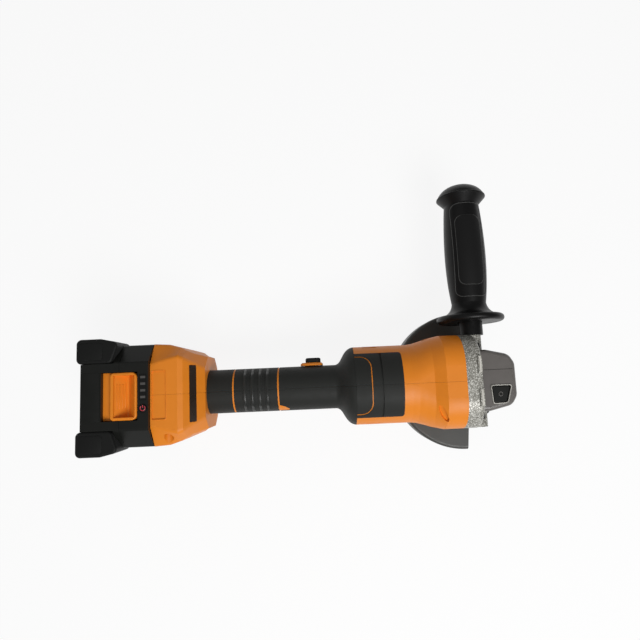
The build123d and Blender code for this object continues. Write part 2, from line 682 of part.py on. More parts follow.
# Electrics inside the body
def electrics():
    """Terminal block, controller and switch block."""
    inner_x = DOCK_REAR_X + SHELL_WALL
    front_x = DOCK_REAR_X - RAIL_NECK_DEPTH - RAIL_HEAD_DEPTH
    holder = block(front_x, inner_x + 4, -TERMINAL_HALF, TERMINAL_HALF, -TERMINAL_TOP_Z, TERMINAL_TOP_Z)
    holder += block(
        inner_x + PART_GAP, inner_x + 4, -TERMINAL_HALF - 4, TERMINAL_HALF + 4, -TERMINAL_TOP_Z - 4,
        TERMINAL_TOP_Z + 4,
    )
    blades = []
    for y in (-9.0, 0.0, 9.0):
        slot = block(front_x - 1, DOCK_REAR_X - 1, y - 2.5, y + 2.5, -TERMINAL_TOP_Z - 1, 14.0)
        holder -= slot
        blades.append(block(front_x + 1, DOCK_REAR_X - 1, y - 0.5, y + 0.5, -14.0, 12.0))
    half_room = GRIP_WIDTH / 2 - SKIN - SHELL_WALL - 4.2
    tray_x = (RING_X[0] + 2, STEM_MID_X - 14)
    tray = block(*tray_x, -half_room, half_room, -11, -2) - block(
        tray_x[0] + 1.5, tray_x[1] - 1.5, -half_room + 1.5, half_room - 1.5, -9.5, 0
    )
    board = block(tray_x[0] + 2, tray_x[1] - 2, -half_room + 2, half_room - 2, -9.5, -7.9)
    parts = [board]
    for i in range(6):
        x = tray_x[0] + 8 + 6 * i
        parts.append(block(x - 2.2, x + 2.2, -8, -3, -7.9, -4.5))
    parts.append(along_x(3.6, tray_x[0] + 6, tray_x[0] + 30, 4.2, -4.2))
    box = block(STEM_MID_X - 12, STEM_MID_X + 14, -8, 9, -9, 9)
    box -= block(STEM_MID_X - 6, STEM_MID_X + 6 + SWITCH_TRAVEL, 5, 10, -4, 4)
    return {
        "terminal_block": holder,
        "terminal_blades": blades,
        "controller_tray": tray,
        "controller_board": parts,
        "switch_block": box,
    }


# Motor
def motor():
    """Stator, rotor, fan and bearings, all along the motor axis."""
    core = along_x(STATOR_R, STATOR_REAR_X, STATOR_FRONT_X)
    core -= along_x(STATOR_R - 5, STATOR_REAR_X, STATOR_FRONT_X)
    bore_r = ROTOR_R + AIR_GAP
    tooth = block(STATOR_REAR_X, STATOR_FRONT_X, -3.5, 3.5, bore_r + 0.5, STATOR_R - 4)
    coil_x = (STATOR_REAR_X - COIL_OVERHANG, STATOR_FRONT_X + COIL_OVERHANG)
    coil_out = block(*coil_x, -7.6, 7.6, bore_r + 2.6, STATOR_R - 6.7)
    coil_hole = block(STATOR_REAR_X - 0.4, STATOR_FRONT_X + 0.4, -3.9, 3.9, 0, STATOR_R)
    shoe = block(STATOR_REAR_X, STATOR_FRONT_X, -6.0, 6.0, bore_r - 1, bore_r + 2.2)
    coils = []
    for i in range(STATOR_TEETH):
        turn = Rot(360 * i / STATOR_TEETH, 0, 0)
        core += turn * tooth
        core += turn * shoe
        coils.append(turn * (coil_out - coil_hole))
    core -= along_x(bore_r, STATOR_REAR_X - 1, STATOR_FRONT_X + 1)
    board_x = STATOR_REAR_X - COIL_OVERHANG - 3.0
    sensor = along_x(STATOR_R - 1, board_x, board_x + 1.6) - along_x(9.0, board_x - 1, board_x + 3)
    rear_r, front_r = REAR_BEARING[0], FRONT_BEARING[0]
    shaft = along_x(rear_r, REAR_BEARING_X, STATOR_REAR_X)
    shaft += along_x(ROTOR_SEAT_R, STATOR_REAR_X - 6, FRONT_BEARING_X)
    shaft += along_x(front_r, FRONT_BEARING_X, -RING_R - PINION_HUB_LENGTH)
    shaft += along_x(PINION_BORE_R, -RING_R - PINION_HUB_LENGTH, -RING_R * INNER_SCALE)
    core_x = (STATOR_REAR_X + 1, STATOR_FRONT_X - 1)
    rotor = along_x(ROTOR_CORE_R, *core_x) - along_x(ROTOR_SEAT_R, *core_x)
    tube = along_x(ROTOR_R, *core_x) - along_x(ROTOR_CORE_R, *core_x)
    for i in range(4):
        wedge = Rot(45 + 90 * i, 0, 0) * block(*core_x, 0, 20, -0.6, 0.6)
        tube -= wedge
    magnets = list(tube.solids())

    hub = along_x(10.0, FAN_REAR_X, FAN_FRONT_X) + along_x(FAN_R, FAN_FRONT_X - 1.6, FAN_FRONT_X)
    blade = block(FAN_REAR_X, FAN_FRONT_X - 1, -0.7, 0.7, 16.0, FAN_R - 0.5)
    spoke = block(FAN_FRONT_X - 4, FAN_FRONT_X - 1, -0.7, 0.7, 9.0, 17.0)
    for i in range(FAN_BLADES):
        turn = Rot(360 * i / FAN_BLADES, 0, 0)
        hub += turn * blade
        hub += turn * spoke
    fan = hub - along_x(ROTOR_SEAT_R, FAN_REAR_X - 1, FAN_FRONT_X + 1)

    front_outer, front_inner = ball_bearing(FRONT_BEARING)
    rear_outer, rear_inner = ball_bearing(REAR_BEARING)
    to_front = Pos(FRONT_BEARING_X, 0, 0) * Rot(0, 90, 0)
    to_rear = Pos(REAR_BEARING_X, 0, 0) * Rot(0, 90, 0)
    return {
        "stator_core": core,
        "stator_coils": coils,
        "sensor_board": sensor,
        "rotor_shaft": shaft,
        "rotor_core": rotor,
        "rotor_magnets": magnets,
        "fan": fan,
        "motor_bearing_outers": [to_front * front_outer, to_rear * rear_outer],
        "motor_bearing_inners": [to_front * front_inner, to_rear * rear_inner],
        "pinion": pinion(),
    }


# Bevel gears, both with their cone apex where the two axes cross
def involute(angle):
    """The involute function."""
    return math.tan(angle) - angle


def pinion():
    """The motor's bevel pinion, with a gap between teeth facing the ring gear."""
    thick = (math.pi / 2 + 2 * TOOTH_SHIFT * math.tan(PRESSURE_ANGLE)) * TOOTH_MODULE - BACKLASH / 2
    virtual_r = PINION_R / math.cos(PINION_CONE)
    base_r = virtual_r * math.cos(PRESSURE_ANGLE)
    flank = []
    steps = 5
    for i in range(steps + 1):
        height = -PINION_DEDENDUM + (PINION_ADDENDUM + PINION_DEDENDUM) * i / steps
        rho = virtual_r + height
        half_angle = thick / (2 * virtual_r) + involute(PRESSURE_ANGLE)
        if rho > base_r:
            half_angle -= involute(math.acos(base_r / rho))
        true_r = PINION_R + height * math.cos(PINION_CONE)
        face_r = true_r * RING_R / (RING_R - height * math.sin(PINION_CONE))
        flank.append((face_r, half_angle * rho / true_r))
    points = []
    for i in range(PINION_TEETH):
        middle = 2 * math.pi * (i + 0.5) / PINION_TEETH
        for r, angle in flank:
            points.append((r * math.cos(middle - angle), r * math.sin(middle - angle)))
        for r, angle in reversed(flank):
            points.append((r * math.cos(middle + angle), r * math.sin(middle + angle)))

    def end_face(scale):
        plane = Plane(origin=(-RING_R * scale, 0, 0), x_dir=(0, 0, -1), z_dir=(-1, 0, 0))
        return plane * Polygon(*[(a * scale, b * scale) for a, b in points], align=None)

    teeth = loft([end_face(1.0), end_face(INNER_SCALE)], ruled=True)
    hub = along_x(PINION_R - 0.8, -RING_R - PINION_HUB_LENGTH, -RING_R)
    return teeth + hub - along_x(PINION_BORE_R, -60, 0)


def ring_gear():
    """The spindle's bevel gear, with holes for the lock pin."""
    thick = (math.pi / 2 - 2 * TOOTH_SHIFT * math.tan(PRESSURE_ANGLE)) * TOOTH_MODULE - BACKLASH / 2
    along = Vector(-RING_R, 0, -PINION_R) / CONE_LENGTH
    out = Vector(-PINION_R, 0, RING_R) / CONE_LENGTH

    def end_face(scale):
        plane = Plane(origin=along * (CONE_LENGTH * scale), x_dir=(0, 1, 0), z_dir=along)
        sign = 1 if plane.y_dir.dot(out) > 0 else -1
        corners = []
        for height in (-RING_DEDENDUM - 0.5, RING_ADDENDUM):
            corners.append((thick / 2 - height * math.tan(PRESSURE_ANGLE), sign * height))
        (low_w, low_h), (top_w, top_h) = corners
        outline = [(-low_w, low_h), (low_w, low_h), (top_w, top_h), (-top_w, top_h)]
        return plane * Polygon(*[(a * scale, b * scale) for a, b in outline], align=None)

    def root_point(scale):
        point = along * (CONE_LENGTH * scale) - out * (RING_DEDENDUM * scale)
        return -point.X, point.Z

    tooth = loft([end_face(1.0), end_face(INNER_SCALE)], ruled=True)
    rim, inner = root_point(1.0), root_point(INNER_SCALE)
    outline = [
        (SPINDLE_GEAR_R, inner[1]), inner, rim, (rim[0], rim[1] - 3), (rim[0] - 4, RING_HUB_Z),
        (SPINDLE_GEAR_R, RING_HUB_Z),
    ]
    gear = turned(outline, Plane.XZ, Axis.Z)
    gear += [Rot(0, 0, 360 * i / RING_TEETH) * tooth for i in range(RING_TEETH)]
    hole = along_z(LOCK_PIN_R + 0.3, inner[1] - LOCK_HOLE_DEPTH, inner[1] + 1, *LOCK_PIN_PLACE)
    for i in range(LOCK_HOLES):
        gear -= Rot(0, 0, 360 * i / LOCK_HOLES) * hole
    return gear


# Gear head
def nose_outline():
    """Plan outline of the gear case's nose."""
    right = [(NOSE_REAR_X, NOSE_HALF), (3.0, NOSE_HALF), (21.8, 20.9)]
    front = [(NOSE_FRONT_X, NOSE_TIP_HALF), (NOSE_FRONT_X, -NOSE_TIP_HALF)]
    left = [(x, -y) for x, y in reversed(right)]
    return Polygon(*right, *front, *left, align=None)


def nose_form(inset):
    """The nose with rounded corners, set in by the thickness of its cover."""
    outline = nose_outline()
    if inset:
        outline = offset(outline, -inset, kind=Kind.INTERSECTION)
    outline = fillet(outline.vertices().filter_by_position(Axis.X, 0, 40), NOSE_CORNER - inset)
    nose = prism(outline, CASE_BOTTOM_Z, NOSE_TOP_Z - inset)
    rim = nose.faces().sort_by(Axis.Z)[-1].edges().filter_by_position(Axis.X, NOSE_REAR_X + 2.5, 40)
    return fillet(rim, NOSE_EDGE - inset)


def lock_pocket():
    """The well that the lock button sinks into."""
    outline = offset(Polygon(*LOCK_OUTLINE, align=None), 0.5, kind=Kind.ARC)
    return prism(outline, LOCK_POCKET_Z, NOSE_TOP_Z + 1)


def nose_cover(case):
    """The dark cover over the nose, with its line along the top and a raised rim around the lock."""
    cover = nose_form(0) & block(CASE_FRONT_X + PART_GAP, 60, -60, 60, -80, 80)
    rim = offset(Polygon(*LOCK_OUTLINE, align=None), 1.5, kind=Kind.ARC)
    cover += prism(rim, NOSE_TOP_Z - 1, NOSE_TOP_Z + LOCK_RIM_RISE)
    groove = block(CASE_FRONT_X, 60, NOSE_LINE_Y - 0.3, NOSE_LINE_Y + 0.3, NOSE_TOP_Z - 0.6, NOSE_TOP_Z + 1)
    wells = []
    for side in (1, -1):
        for y, z in (CASE_SCREW_TOP, CASE_SCREW_LOW):
            wells.append(along_x(CASE_SCREW_HEAD_R + PART_GAP, CASE_FRONT_X - 4, 60, side * y, z))
    bosses = handle_boss(-HANDLE_FACE_Y, HANDLE_FACE_Y)
    return cover - [case, nose_form(NOSE_COVER), lock_pocket(), groove, bosses, *wells]


def handle_boss(y0, y1):
    """The round boss of a handle hole, flattened in front."""
    return along_y(HANDLE_BOSS_R, y0, y1, HANDLE_X, HANDLE_Z) & slab(-60, HANDLE_BOSS_FRONT_X)


def gear_case():
    """The case around the gears, with the seats of the bearings, the lock and the side handle."""
    flange = straight_form(COLLAR_SIZES, COLLAR_FRONT_X, CASE_FRONT_X, 0)
    flange = fillet(flange.faces().sort_by(Axis.X)[-1].edges(), FLANGE_EDGE)
    flange -= block(COLLAR_FRONT_X - 1, 60, -60, 60, -80, CASE_BOTTOM_Z)
    case = flange + nose_form(NOSE_COVER)
    tab_x = (CASE_FRONT_X - 0.6 - TAB_LENGTH, CASE_FRONT_X - 0.6)
    for y in TAB_Y:
        case -= block(
            tab_x[0] - TAB_SLOT, tab_x[0], y - TAB_HALF, y + TAB_HALF, COLLAR_TOP_Z - 1.2, COLLAR_TOP_Z + 1
        )
        case += block(*tab_x, y - TAB_HALF, y + TAB_HALF, 0, COLLAR_TOP_Z + TAB_RISE)
    spigot_x = FRONT_BEARING_X
    case += along_x(SPIGOT_R, spigot_x, COLLAR_FRONT_X + 1)
    for side in (1, -1):
        y0, y1 = sorted((side * 10.0, side * HANDLE_FACE_Y))
        case += handle_boss(y0, y1)
    case -= block(-60, 60, -60, 60, -80, CASE_BOTTOM_Z)
    case -= along_x(SPIGOT_R - 3.5, spigot_x - 1, COLLAR_FRONT_X - 2) - along_x(
        FRONT_BEARING[1] + 3.5, spigot_x - 2, COLLAR_FRONT_X
    )
    case -= along_x(FRONT_BEARING[1], spigot_x, spigot_x + FRONT_BEARING[2])
    case -= along_x(FRONT_BEARING[1] - 3, spigot_x, 0)
    case -= along_z(CHAMBER_R, CASE_BOTTOM_Z - 1, CHAMBER_TOP_Z)
    case -= along_z(BUSH_R, 0, CHAMBER_TOP_Z + BUSH_LENGTH)
    for side in (1, -1):
        y0, y1 = sorted((side * (HANDLE_FACE_Y - HANDLE_THREAD_DEPTH), side * (HANDLE_FACE_Y + 1)))
        case -= along_y(HANDLE_THREAD_R, y0, y1, HANDLE_X, HANDLE_Z)
        for y, z in (CASE_SCREW_TOP, CASE_SCREW_LOW):
            seat = CASE_FRONT_X - CASE_SCREW_HEAD_H + 1
            case -= along_x(CASE_SCREW_HEAD_R + PART_GAP, seat, seat + 30, side * y, z)
            case -= along_x(CASE_SCREW_R + PART_GAP, COLLAR_FRONT_X - 1, seat + 1, side * y, z)
    for x, y in PLATE_SCREW_PLACES:
        case -= along_z(PLATE_SCREW_R, CASE_BOTTOM_Z - 1, CASE_BOTTOM_Z + PLATE_SCREW_BITE + 0.5, x, y)
    case -= lock_pocket()
    case -= along_z(LOCK_PIN_R + RUN_FIT, 0, LOCK_POCKET_Z + 1, *LOCK_PIN_PLACE)
    return case


def gear_head():
    """Gear case, bearing plate, their screws and the parts on the spindle."""
    case = gear_case()
    case_screws = []
    seat = CASE_FRONT_X - CASE_SCREW_HEAD_H + 1
    for side in (1, -1):
        for y, z in (CASE_SCREW_TOP, CASE_SCREW_LOW):
            length = seat - COLLAR_FRONT_X + 11
            one = screw(CASE_SCREW_HEAD_R, CASE_SCREW_HEAD_H, CASE_SCREW_R, length)
            case_screws.append(Pos(seat, side * y, z) * Rot(0, 90, 0) * one)
    outline = plan_rectangle(COLLAR_FRONT_X + PART_GAP, PLATE_FRONT_X, PLATE_HALF, PLATE_CORNER[0])
    outline &= plan_rectangle(COLLAR_FRONT_X - 20, PLATE_FRONT_X, PLATE_HALF, PLATE_CORNER[1])
    plate = prism(outline, PLATE_BOTTOM_Z, CASE_BOTTOM_Z)
    plate += along_z(PLATE_COLLAR_R, COLLAR_END_Z, PLATE_BOTTOM_Z)
    plate -= along_z(SPINDLE_BEARING[1], SPINDLE_BEARING_Z, CASE_BOTTOM_Z + 1)
    plate -= along_z(SPINDLE_BEARING[1] - 2, COLLAR_END_Z - 1, SPINDLE_BEARING_Z)
    plate_screws = []
    head_z = PLATE_BOTTOM_Z + PLATE_SCREW_HEAD_H
    for x, y in PLATE_SCREW_PLACES:
        plate -= along_z(PLATE_SCREW_HEAD_R + PART_GAP, PLATE_BOTTOM_Z - 1, head_z, x, y)
        plate -= along_z(PLATE_SCREW_R + PART_GAP, PLATE_BOTTOM_Z, CASE_BOTTOM_Z + 1, x, y)
        length = PLATE_THICK - PLATE_SCREW_HEAD_H + PLATE_SCREW_BITE
        one = screw(PLATE_SCREW_HEAD_R, PLATE_SCREW_HEAD_H, PLATE_SCREW_R, length)
        plate_screws.append(Pos(x, y, head_z) * Rot(180, 0, 0) * one)

    bearing_r = SPINDLE_BEARING[0]
    bush_top = CHAMBER_TOP_Z + BUSH_LENGTH
    spindle = along_z(SPINDLE_TOP_R, -PINION_R, bush_top - 0.5)
    spindle += along_z(SPINDLE_GEAR_R, RING_HUB_Z, -PINION_R)
    spindle += along_z(SPINDLE_GEAR_R + 2, RING_HUB_Z - 3, RING_HUB_Z)
    spindle += along_z(bearing_r, SPINDLE_BEARING_Z, RING_HUB_Z - 3)
    spindle += along_z(bearing_r + 2, FLANGE_TOP_Z, SPINDLE_BEARING_Z)
    nut_low = NUT_TOP_Z - NUT_THICK
    spindle += along_z(SPINDLE_SHANK_R, nut_low, FLANGE_TOP_Z)
    spindle += along_z(THREAD_RELIEF_R, nut_low - THREAD_RELIEF, nut_low)
    spindle += along_z(SPINDLE_THREAD_R, SPINDLE_TIP_Z, nut_low - THREAD_RELIEF)
    outer, inner = ball_bearing(SPINDLE_BEARING)
    to_place = Pos(0, 0, SPINDLE_BEARING_Z)
    bush = along_z(BUSH_R, CHAMBER_TOP_Z, bush_top) - along_z(SPINDLE_TOP_R + RUN_FIT, 0, bush_top)
    seal = along_z(SPINDLE_BEARING[1] - 2, COLLAR_END_Z, SPINDLE_BEARING_Z)
    seal -= along_z(bearing_r + 2 + FREE_GAP, COLLAR_END_Z - 1, SPINDLE_BEARING_Z + 1)
    flange = along_z(FLANGE_R, SEAT_Z, FLANGE_TOP_Z)
    flange = chamfer(flange.faces().sort_by(Axis.Z)[-1].edges(), 1.5)
    flange += along_z(PILOT_R, PILOT_END_Z, SEAT_Z)
    flange -= along_z(SPINDLE_SHANK_R, PILOT_END_Z - 1, FLANGE_TOP_Z + 1)
    nut = along_z(NUT_R, nut_low, NUT_TOP_Z)
    nut = chamfer(nut.faces().sort_by(Axis.Z)[0].edges(), 1.2)
    nut -= along_z(SPINDLE_THREAD_R + RUN_FIT, nut_low - 1, NUT_TOP_Z + 1)
    for side in (1, -1):
        nut -= along_z(NUT_PIN_HOLE_R, nut_low - 1, NUT_TOP_Z + 1, 0, side * NUT_PIN_CIRCLE_R)
    return {
        "gear_case": case,
        "nose_cover": nose_cover(case),
        "gear_case_screws": case_screws,
        "bearing_plate": plate,
        "bearing_plate_screws": plate_screws,
        "spindle_bearing_outer": to_place * outer,
        "spindle_bearing_inner": to_place * inner,
        "spindle_bush": bush,
        "spindle_seal": seal,
        "spindle": spindle,
        "ring_gear": ring_gear(),
        "inner_flange": flange,
        "lock_nut": nut,
    }


def spindle_lock():
    """Button, pin and spring of the spindle lock."""
    cap = prism(Polygon(*LOCK_OUTLINE, align=None), LOCK_CAP_TOP_Z - LOCK_CAP_THICK, LOCK_CAP_TOP_Z)
    cap = fillet(cap.edges().filter_by(Axis.Z), 1.2)
    cap = fillet(cap.faces().sort_by(Axis.Z)[-1].edges(), 0.5)
    cap_low = LOCK_CAP_TOP_Z - LOCK_CAP_THICK
    pin = along_z(LOCK_PIN_R, LOCK_PIN_TIP_Z, cap_low, *LOCK_PIN_PLACE)
    coil_r = LOCK_SPRING_R - LOCK_SPRING_WIRE
    coil = spring(coil_r, LOCK_SPRING_WIRE, cap_low - LOCK_POCKET_Z, LOCK_SPRING_TURNS)
    return {
        "lock_button": cap,
        "lock_pin": pin,
        "lock_spring": Pos(*LOCK_PIN_PLACE, LOCK_POCKET_Z) * coil,
    }


# Guard
def guard():
    """Hood, clamp band, clamp screw and nut."""
    drum = along_z(GUARD_R, REST_Z, GUARD_TOP_Z)
    drum = fillet(drum.faces().sort_by(Axis.Z)[-1].edges(), GUARD_ROUND)
    room_top = GUARD_TOP_Z - GUARD_SHEET
    room = along_z(GUARD_R - GUARD_SHEET, REST_Z + GUARD_SHEET, room_top)
    room = fillet(room.faces().sort_by(Axis.Z)[-1].edges(), GUARD_ROUND - GUARD_SHEET)
    hood = drum - room - along_z(GUARD_R - GUARD_SHEET - GUARD_LIP, REST_Z - 1, REST_Z + GUARD_SHEET)
    hood -= along_z(BAND_R, REST_Z, GUARD_TOP_Z + 1)
    hood -= block(GUARD_EDGE_X, 100, -100, 100, -100, 0)
    band = along_z(BAND_R, BAND_LOW_Z, BAND_TOP_Z)
    ear_room = EAR_GAP / 2 + EAR_THICK
    band += block(BAND_R - 1.5, EAR_REACH, -ear_room, ear_room, BAND_LOW_Z, BAND_TOP_Z)
    band -= along_z(BAND_R - BAND_THICK, BAND_LOW_Z - 1, BAND_TOP_Z + 1)
    band -= block(BAND_R - BAND_THICK - 2, EAR_REACH + 1, -EAR_GAP / 2, EAR_GAP / 2, -100, 0)
    screw_x = (BAND_R + EAR_REACH) / 2
    screw_z = (BAND_LOW_Z + BAND_TOP_Z) / 2
    band -= along_y(CLAMP_SCREW_R + PART_GAP, -20, 20, screw_x, screw_z)
    one = screw(*CLAMP_HEAD, CLAMP_SCREW_R, 2 * ear_room + CLAMP_SCREW_SPARE)
    bolt = Pos(screw_x, -ear_room, screw_z) * Rot(90, 0, 0) * one
    hexagon = extrude(RegularPolygon(CLAMP_NUT[0], 6, rotation=30), CLAMP_NUT[1])
    hexagon -= along_z(CLAMP_SCREW_R, -1, CLAMP_NUT[1] + 1)
    nut = Pos(screw_x, ear_room, screw_z) * Rot(-90, 0, 0) * hexagon
    turn = Rot(0, 0, EAR_ANGLE)
    return {
        "guard_hood": Rot(0, 0, GUARD_REST_TURN) * hood,
        "guard_band": turn * band,
        "guard_clamp_screw": turn * bolt,
        "guard_clamp_nut": turn * nut,
    }


# Side handle
def handle_form(grow):
    """The turned form of the side handle along Y, with its surface moved out by grow."""
    base_y = HANDLE_FACE_Y + PART_GAP
    flange_top = HANDLE_FLANGE_Y + 6.0
    outline = Polyline(
        (0, base_y), (HANDLE_FOOT_R + grow, base_y), (HANDLE_FOOT_R + grow, HANDLE_FLANGE_Y),
        (HANDLE_FLANGE_R - 3, HANDLE_FLANGE_Y),
    )
    rim = ThreePointArc(
        (HANDLE_FLANGE_R - 3, HANDLE_FLANGE_Y), (HANDLE_FLANGE_R, HANDLE_FLANGE_Y + 3),
        (HANDLE_FLANGE_R - 2, flange_top),
    )
    neck = (HANDLE_NECK_R + grow, HANDLE_NECK_Y)
    throat = ThreePointArc(
        (HANDLE_FLANGE_R - 2, flange_top), (HANDLE_NECK_R + 3.2, flange_top + 3.6), neck
    )
    waist = (HANDLE_WAIST_R + grow, HANDLE_WAIST_Y)
    pull_r = 2 * (HANDLE_BELLY_R + grow) - (neck[0] + waist[0]) / 2
    pull_y = 2 * HANDLE_BELLY_Y - (neck[1] + waist[1]) / 2
    grip = Bezier(neck, (pull_r, pull_y), waist)
    knob_low = (HANDLE_KNOB_R - 0.6, HANDLE_KNOB_Y - 0.8)
    under = Line(waist, knob_low)
    shoulder = (HANDLE_KNOB_R - 0.7, HANDLE_KNOB_Y + 1.2)
    side = ThreePointArc(knob_low, (HANDLE_KNOB_R, HANDLE_KNOB_Y + 0.2), shoulder)
    dome = Bezier(shoulder, (0.72 * HANDLE_KNOB_R, HANDLE_END_Y), (0, HANDLE_END_Y))
    close = Line((0, HANDLE_END_Y), (0, base_y))
    face = make_face([*outline.edges(), rim, throat, grip, under, side, dome, close])
    return Pos(HANDLE_X, 0, HANDLE_Z) * revolve(face, axis=Axis.Y)


def side_handle():
    """Grip, inlaid pads and threaded stud."""
    grip = handle_form(0)
    panel = Pos(HANDLE_X, (HANDLE_PAD_Y[0] + HANDLE_PAD_Y[1]) / 2) * RectangleRounded(
        2 * HANDLE_PAD_HALF, HANDLE_PAD_Y[1] - HANDLE_PAD_Y[0], HANDLE_PAD_CORNER
    )
    skin = handle_form(HANDLE_PAD_RISE) - handle_form(-HANDLE_PAD_SINK)
    pads = [skin & prism(panel, HANDLE_Z + side * 20 - 20, HANDLE_Z + side * 20 + 20) for side in (1, -1)]
    stud_low = HANDLE_FACE_Y - HANDLE_THREAD_DEPTH + 1
    stud_r = HANDLE_THREAD_R - RUN_FIT
    stud = along_y(stud_r, stud_low, stud_low + STUD_LENGTH, HANDLE_X, HANDLE_Z)
    return {
        "handle_grip": grip - [*pads, stud],
        "handle_pads": pads,
        "handle_stud": stud,
    }


# Switch
def switch():
    """Slider and pad on the left of the grip."""
    x_mid = (SWITCH_X[0] + SWITCH_X[1]) / 2
    plate = Plane.XZ.offset(-SWITCH_FACE_Y) * Pos(x_mid, 0) * RectangleRounded(
        SWITCH_X[1] - SWITCH_X[0], SWITCH_HEIGHT, 4.0
    )
    slider = extrude(plate, -SWITCH_PLATE)
    slider = chamfer(slider.faces().sort_by(Axis.Y)[-1].edges(), 1.2)
    stem_z = SWITCH_STEM[1] / 2
    stem_x = (STEM_MID_X - SWITCH_STEM[0] / 2, STEM_MID_X + SWITCH_STEM[0] / 2)
    slider += block(*stem_x, 9.6, SWITCH_FACE_Y + 0.5, -stem_z, stem_z)
    pad_mid = (SWITCH_PAD_X[0] + SWITCH_PAD_X[1]) / 2
    pad_y = SWITCH_FACE_Y + SWITCH_PLATE
    outline = Plane.XZ.offset(-pad_y) * Pos(pad_mid, 0) * RectangleRounded(
        SWITCH_PAD_X[1] - SWITCH_PAD_X[0], SWITCH_HEIGHT - 5, 3.0
    )
    pad = extrude(outline, -SWITCH_PAD_RISE)
    pad = fillet(pad.faces().sort_by(Axis.Y)[-1].edges(), 1.4)
    return {"switch_slider": slider, "switch_pad": pad}


# Battery
def bumper_outline():
    """Plan outline of one corner bumper, on the left."""
    corners = [
        (BUMPER_REAR_X, BUMPER_INNER), (BUMPER_REAR_X, BUMPER_HALF), (BUMPER_REAR_X + BUMPER_SIDE, BUMPER_HALF),
        (BUMPER_FRONT_X + 6, BATTERY_HALF + 1.8), (BUMPER_FRONT_X, BUMPER_INNER),
    ]
    outline = Polygon(*corners, align=None)
    return fillet(outline.vertices(), BUMPER_CORNER)


def battery_form(inset):
    """The battery's outer form, with sloping shoulders, set in by the inset."""
    slope = math.atan2(BATTERY_TOP_Z - BATTERY_SHOULDER_Z, BATTERY_HALF - BATTERY_TOP_HALF)
    shoulder_in = inset * math.tan((math.pi / 2 - slope) / 2)
    right = [
        (BATTERY_TOP_HALF - inset * math.tan(slope / 2), BATTERY_TOP_Z - inset),
        (BATTERY_HALF - inset, BATTERY_SHOULDER_Z - shoulder_in),
        (BATTERY_HALF - inset, BATTERY_BOTTOM_Z + inset),
    ]
    left = [(-y, z) for y, z in reversed(right)]
    outline = fillet(Polygon(*right, *left, align=None).vertices(), BATTERY_CORNER - inset)
    length = BATTERY_FRONT_X - BATTERY_REAR_X - 2 * inset
    return extrude(Plane.YZ.offset(BATTERY_REAR_X + inset) * outline, length, dir=(1, 0, 0))


def battery_case():
    """The battery's outer form with all its hollows, before the split."""
    case = battery_form(0)
    for side in (1, -1):
        y0, y1 = sorted((side * (BUMPER_INNER - PART_GAP), side * 60))
        seat_z = (BATTERY_TOP_Z - BUMPER_SEAT, BATTERY_TOP_Z + 1)
        case -= block(BATTERY_REAR_X - 1, BUMPER_FRONT_X + 2, y0, y1, *seat_z)
    case -= battery_form(BATTERY_WALL) & block(-400, CELL_SPACE_X, -60, 60, -100, CELLS_TOP_Z + 3)
    room = TERMINAL_HALF + 1.0
    depth_x = DOCK_REAR_X - RAIL_NECK_DEPTH - RAIL_HEAD_DEPTH - FREE_GAP
    case -= block(depth_x, BATTERY_FRONT_X + 1, -room, room, BATTERY_BOTTOM_Z - 1, TERMINAL_TOP_Z + 0.6)
    for side in (1, -1):
        y = side * RAIL_Y
        neck = RAIL_NECK / 2 + FREE_GAP
        head = RAIL_HEAD / 2 + FREE_GAP
        top = RAIL_TOP_Z + 0.6
        head_x = DOCK_REAR_X - RAIL_NECK_DEPTH + FREE_GAP
        case -= block(depth_x, BATTERY_FRONT_X + 1, y - neck, y + neck, BATTERY_BOTTOM_Z - 1, top)
        case -= block(depth_x, head_x, y - head, y + head, BATTERY_BOTTOM_Z - 1, top)
    return case


def cut_battery_top(case):
    """Cuts the latch bay, the gauge recess and the hole of the gauge button."""
    bay_half = LATCH_HALF + FREE_GAP
    front_x = LATCH_X[1] + FREE_GAP
    tail_x = LATCH_X[0] - LATCH_TAIL - LATCH_TRAVEL - LATCH_TAIL_ROOM
    case -= block(tail_x, front_x, -bay_half, bay_half, LATCH_FLOOR_Z - FREE_GAP, LATCH_LOW_Z + FREE_GAP)
    case -= block(LATCH_X[0], front_x, -bay_half, bay_half, LATCH_LOW_Z, BATTERY_TOP_Z + 1)
    case -= gauge_window(PART_GAP)
    return case - along_z(
        GAUGE_BUTTON_R + FREE_GAP, GAUGE_BUTTON_LOW_Z - 2 * GAUGE_BUTTON_TRAVEL, BATTERY_TOP_Z + 1, GAUGE_X,
        GAUGE_BUTTON_Y,
    )


def gauge_window(margin):
    """The dark window over the charge lights."""
    y_in = GAUGE_LED[1] / 2 + GAUGE_RIM[1] + margin
    y0, y1 = GAUGE_LED_Y[-1] - y_in, GAUGE_LED_Y[0] + y_in
    x_half = GAUGE_LED[0] / 2 + GAUGE_RIM[0] + margin
    top = BATTERY_TOP_Z + (1.0 if margin else 0.0)
    low = BATTERY_TOP_Z - GAUGE_WINDOW_THICK - margin
    return block(GAUGE_X - x_half, GAUGE_X + x_half, y0, y1, low, top)


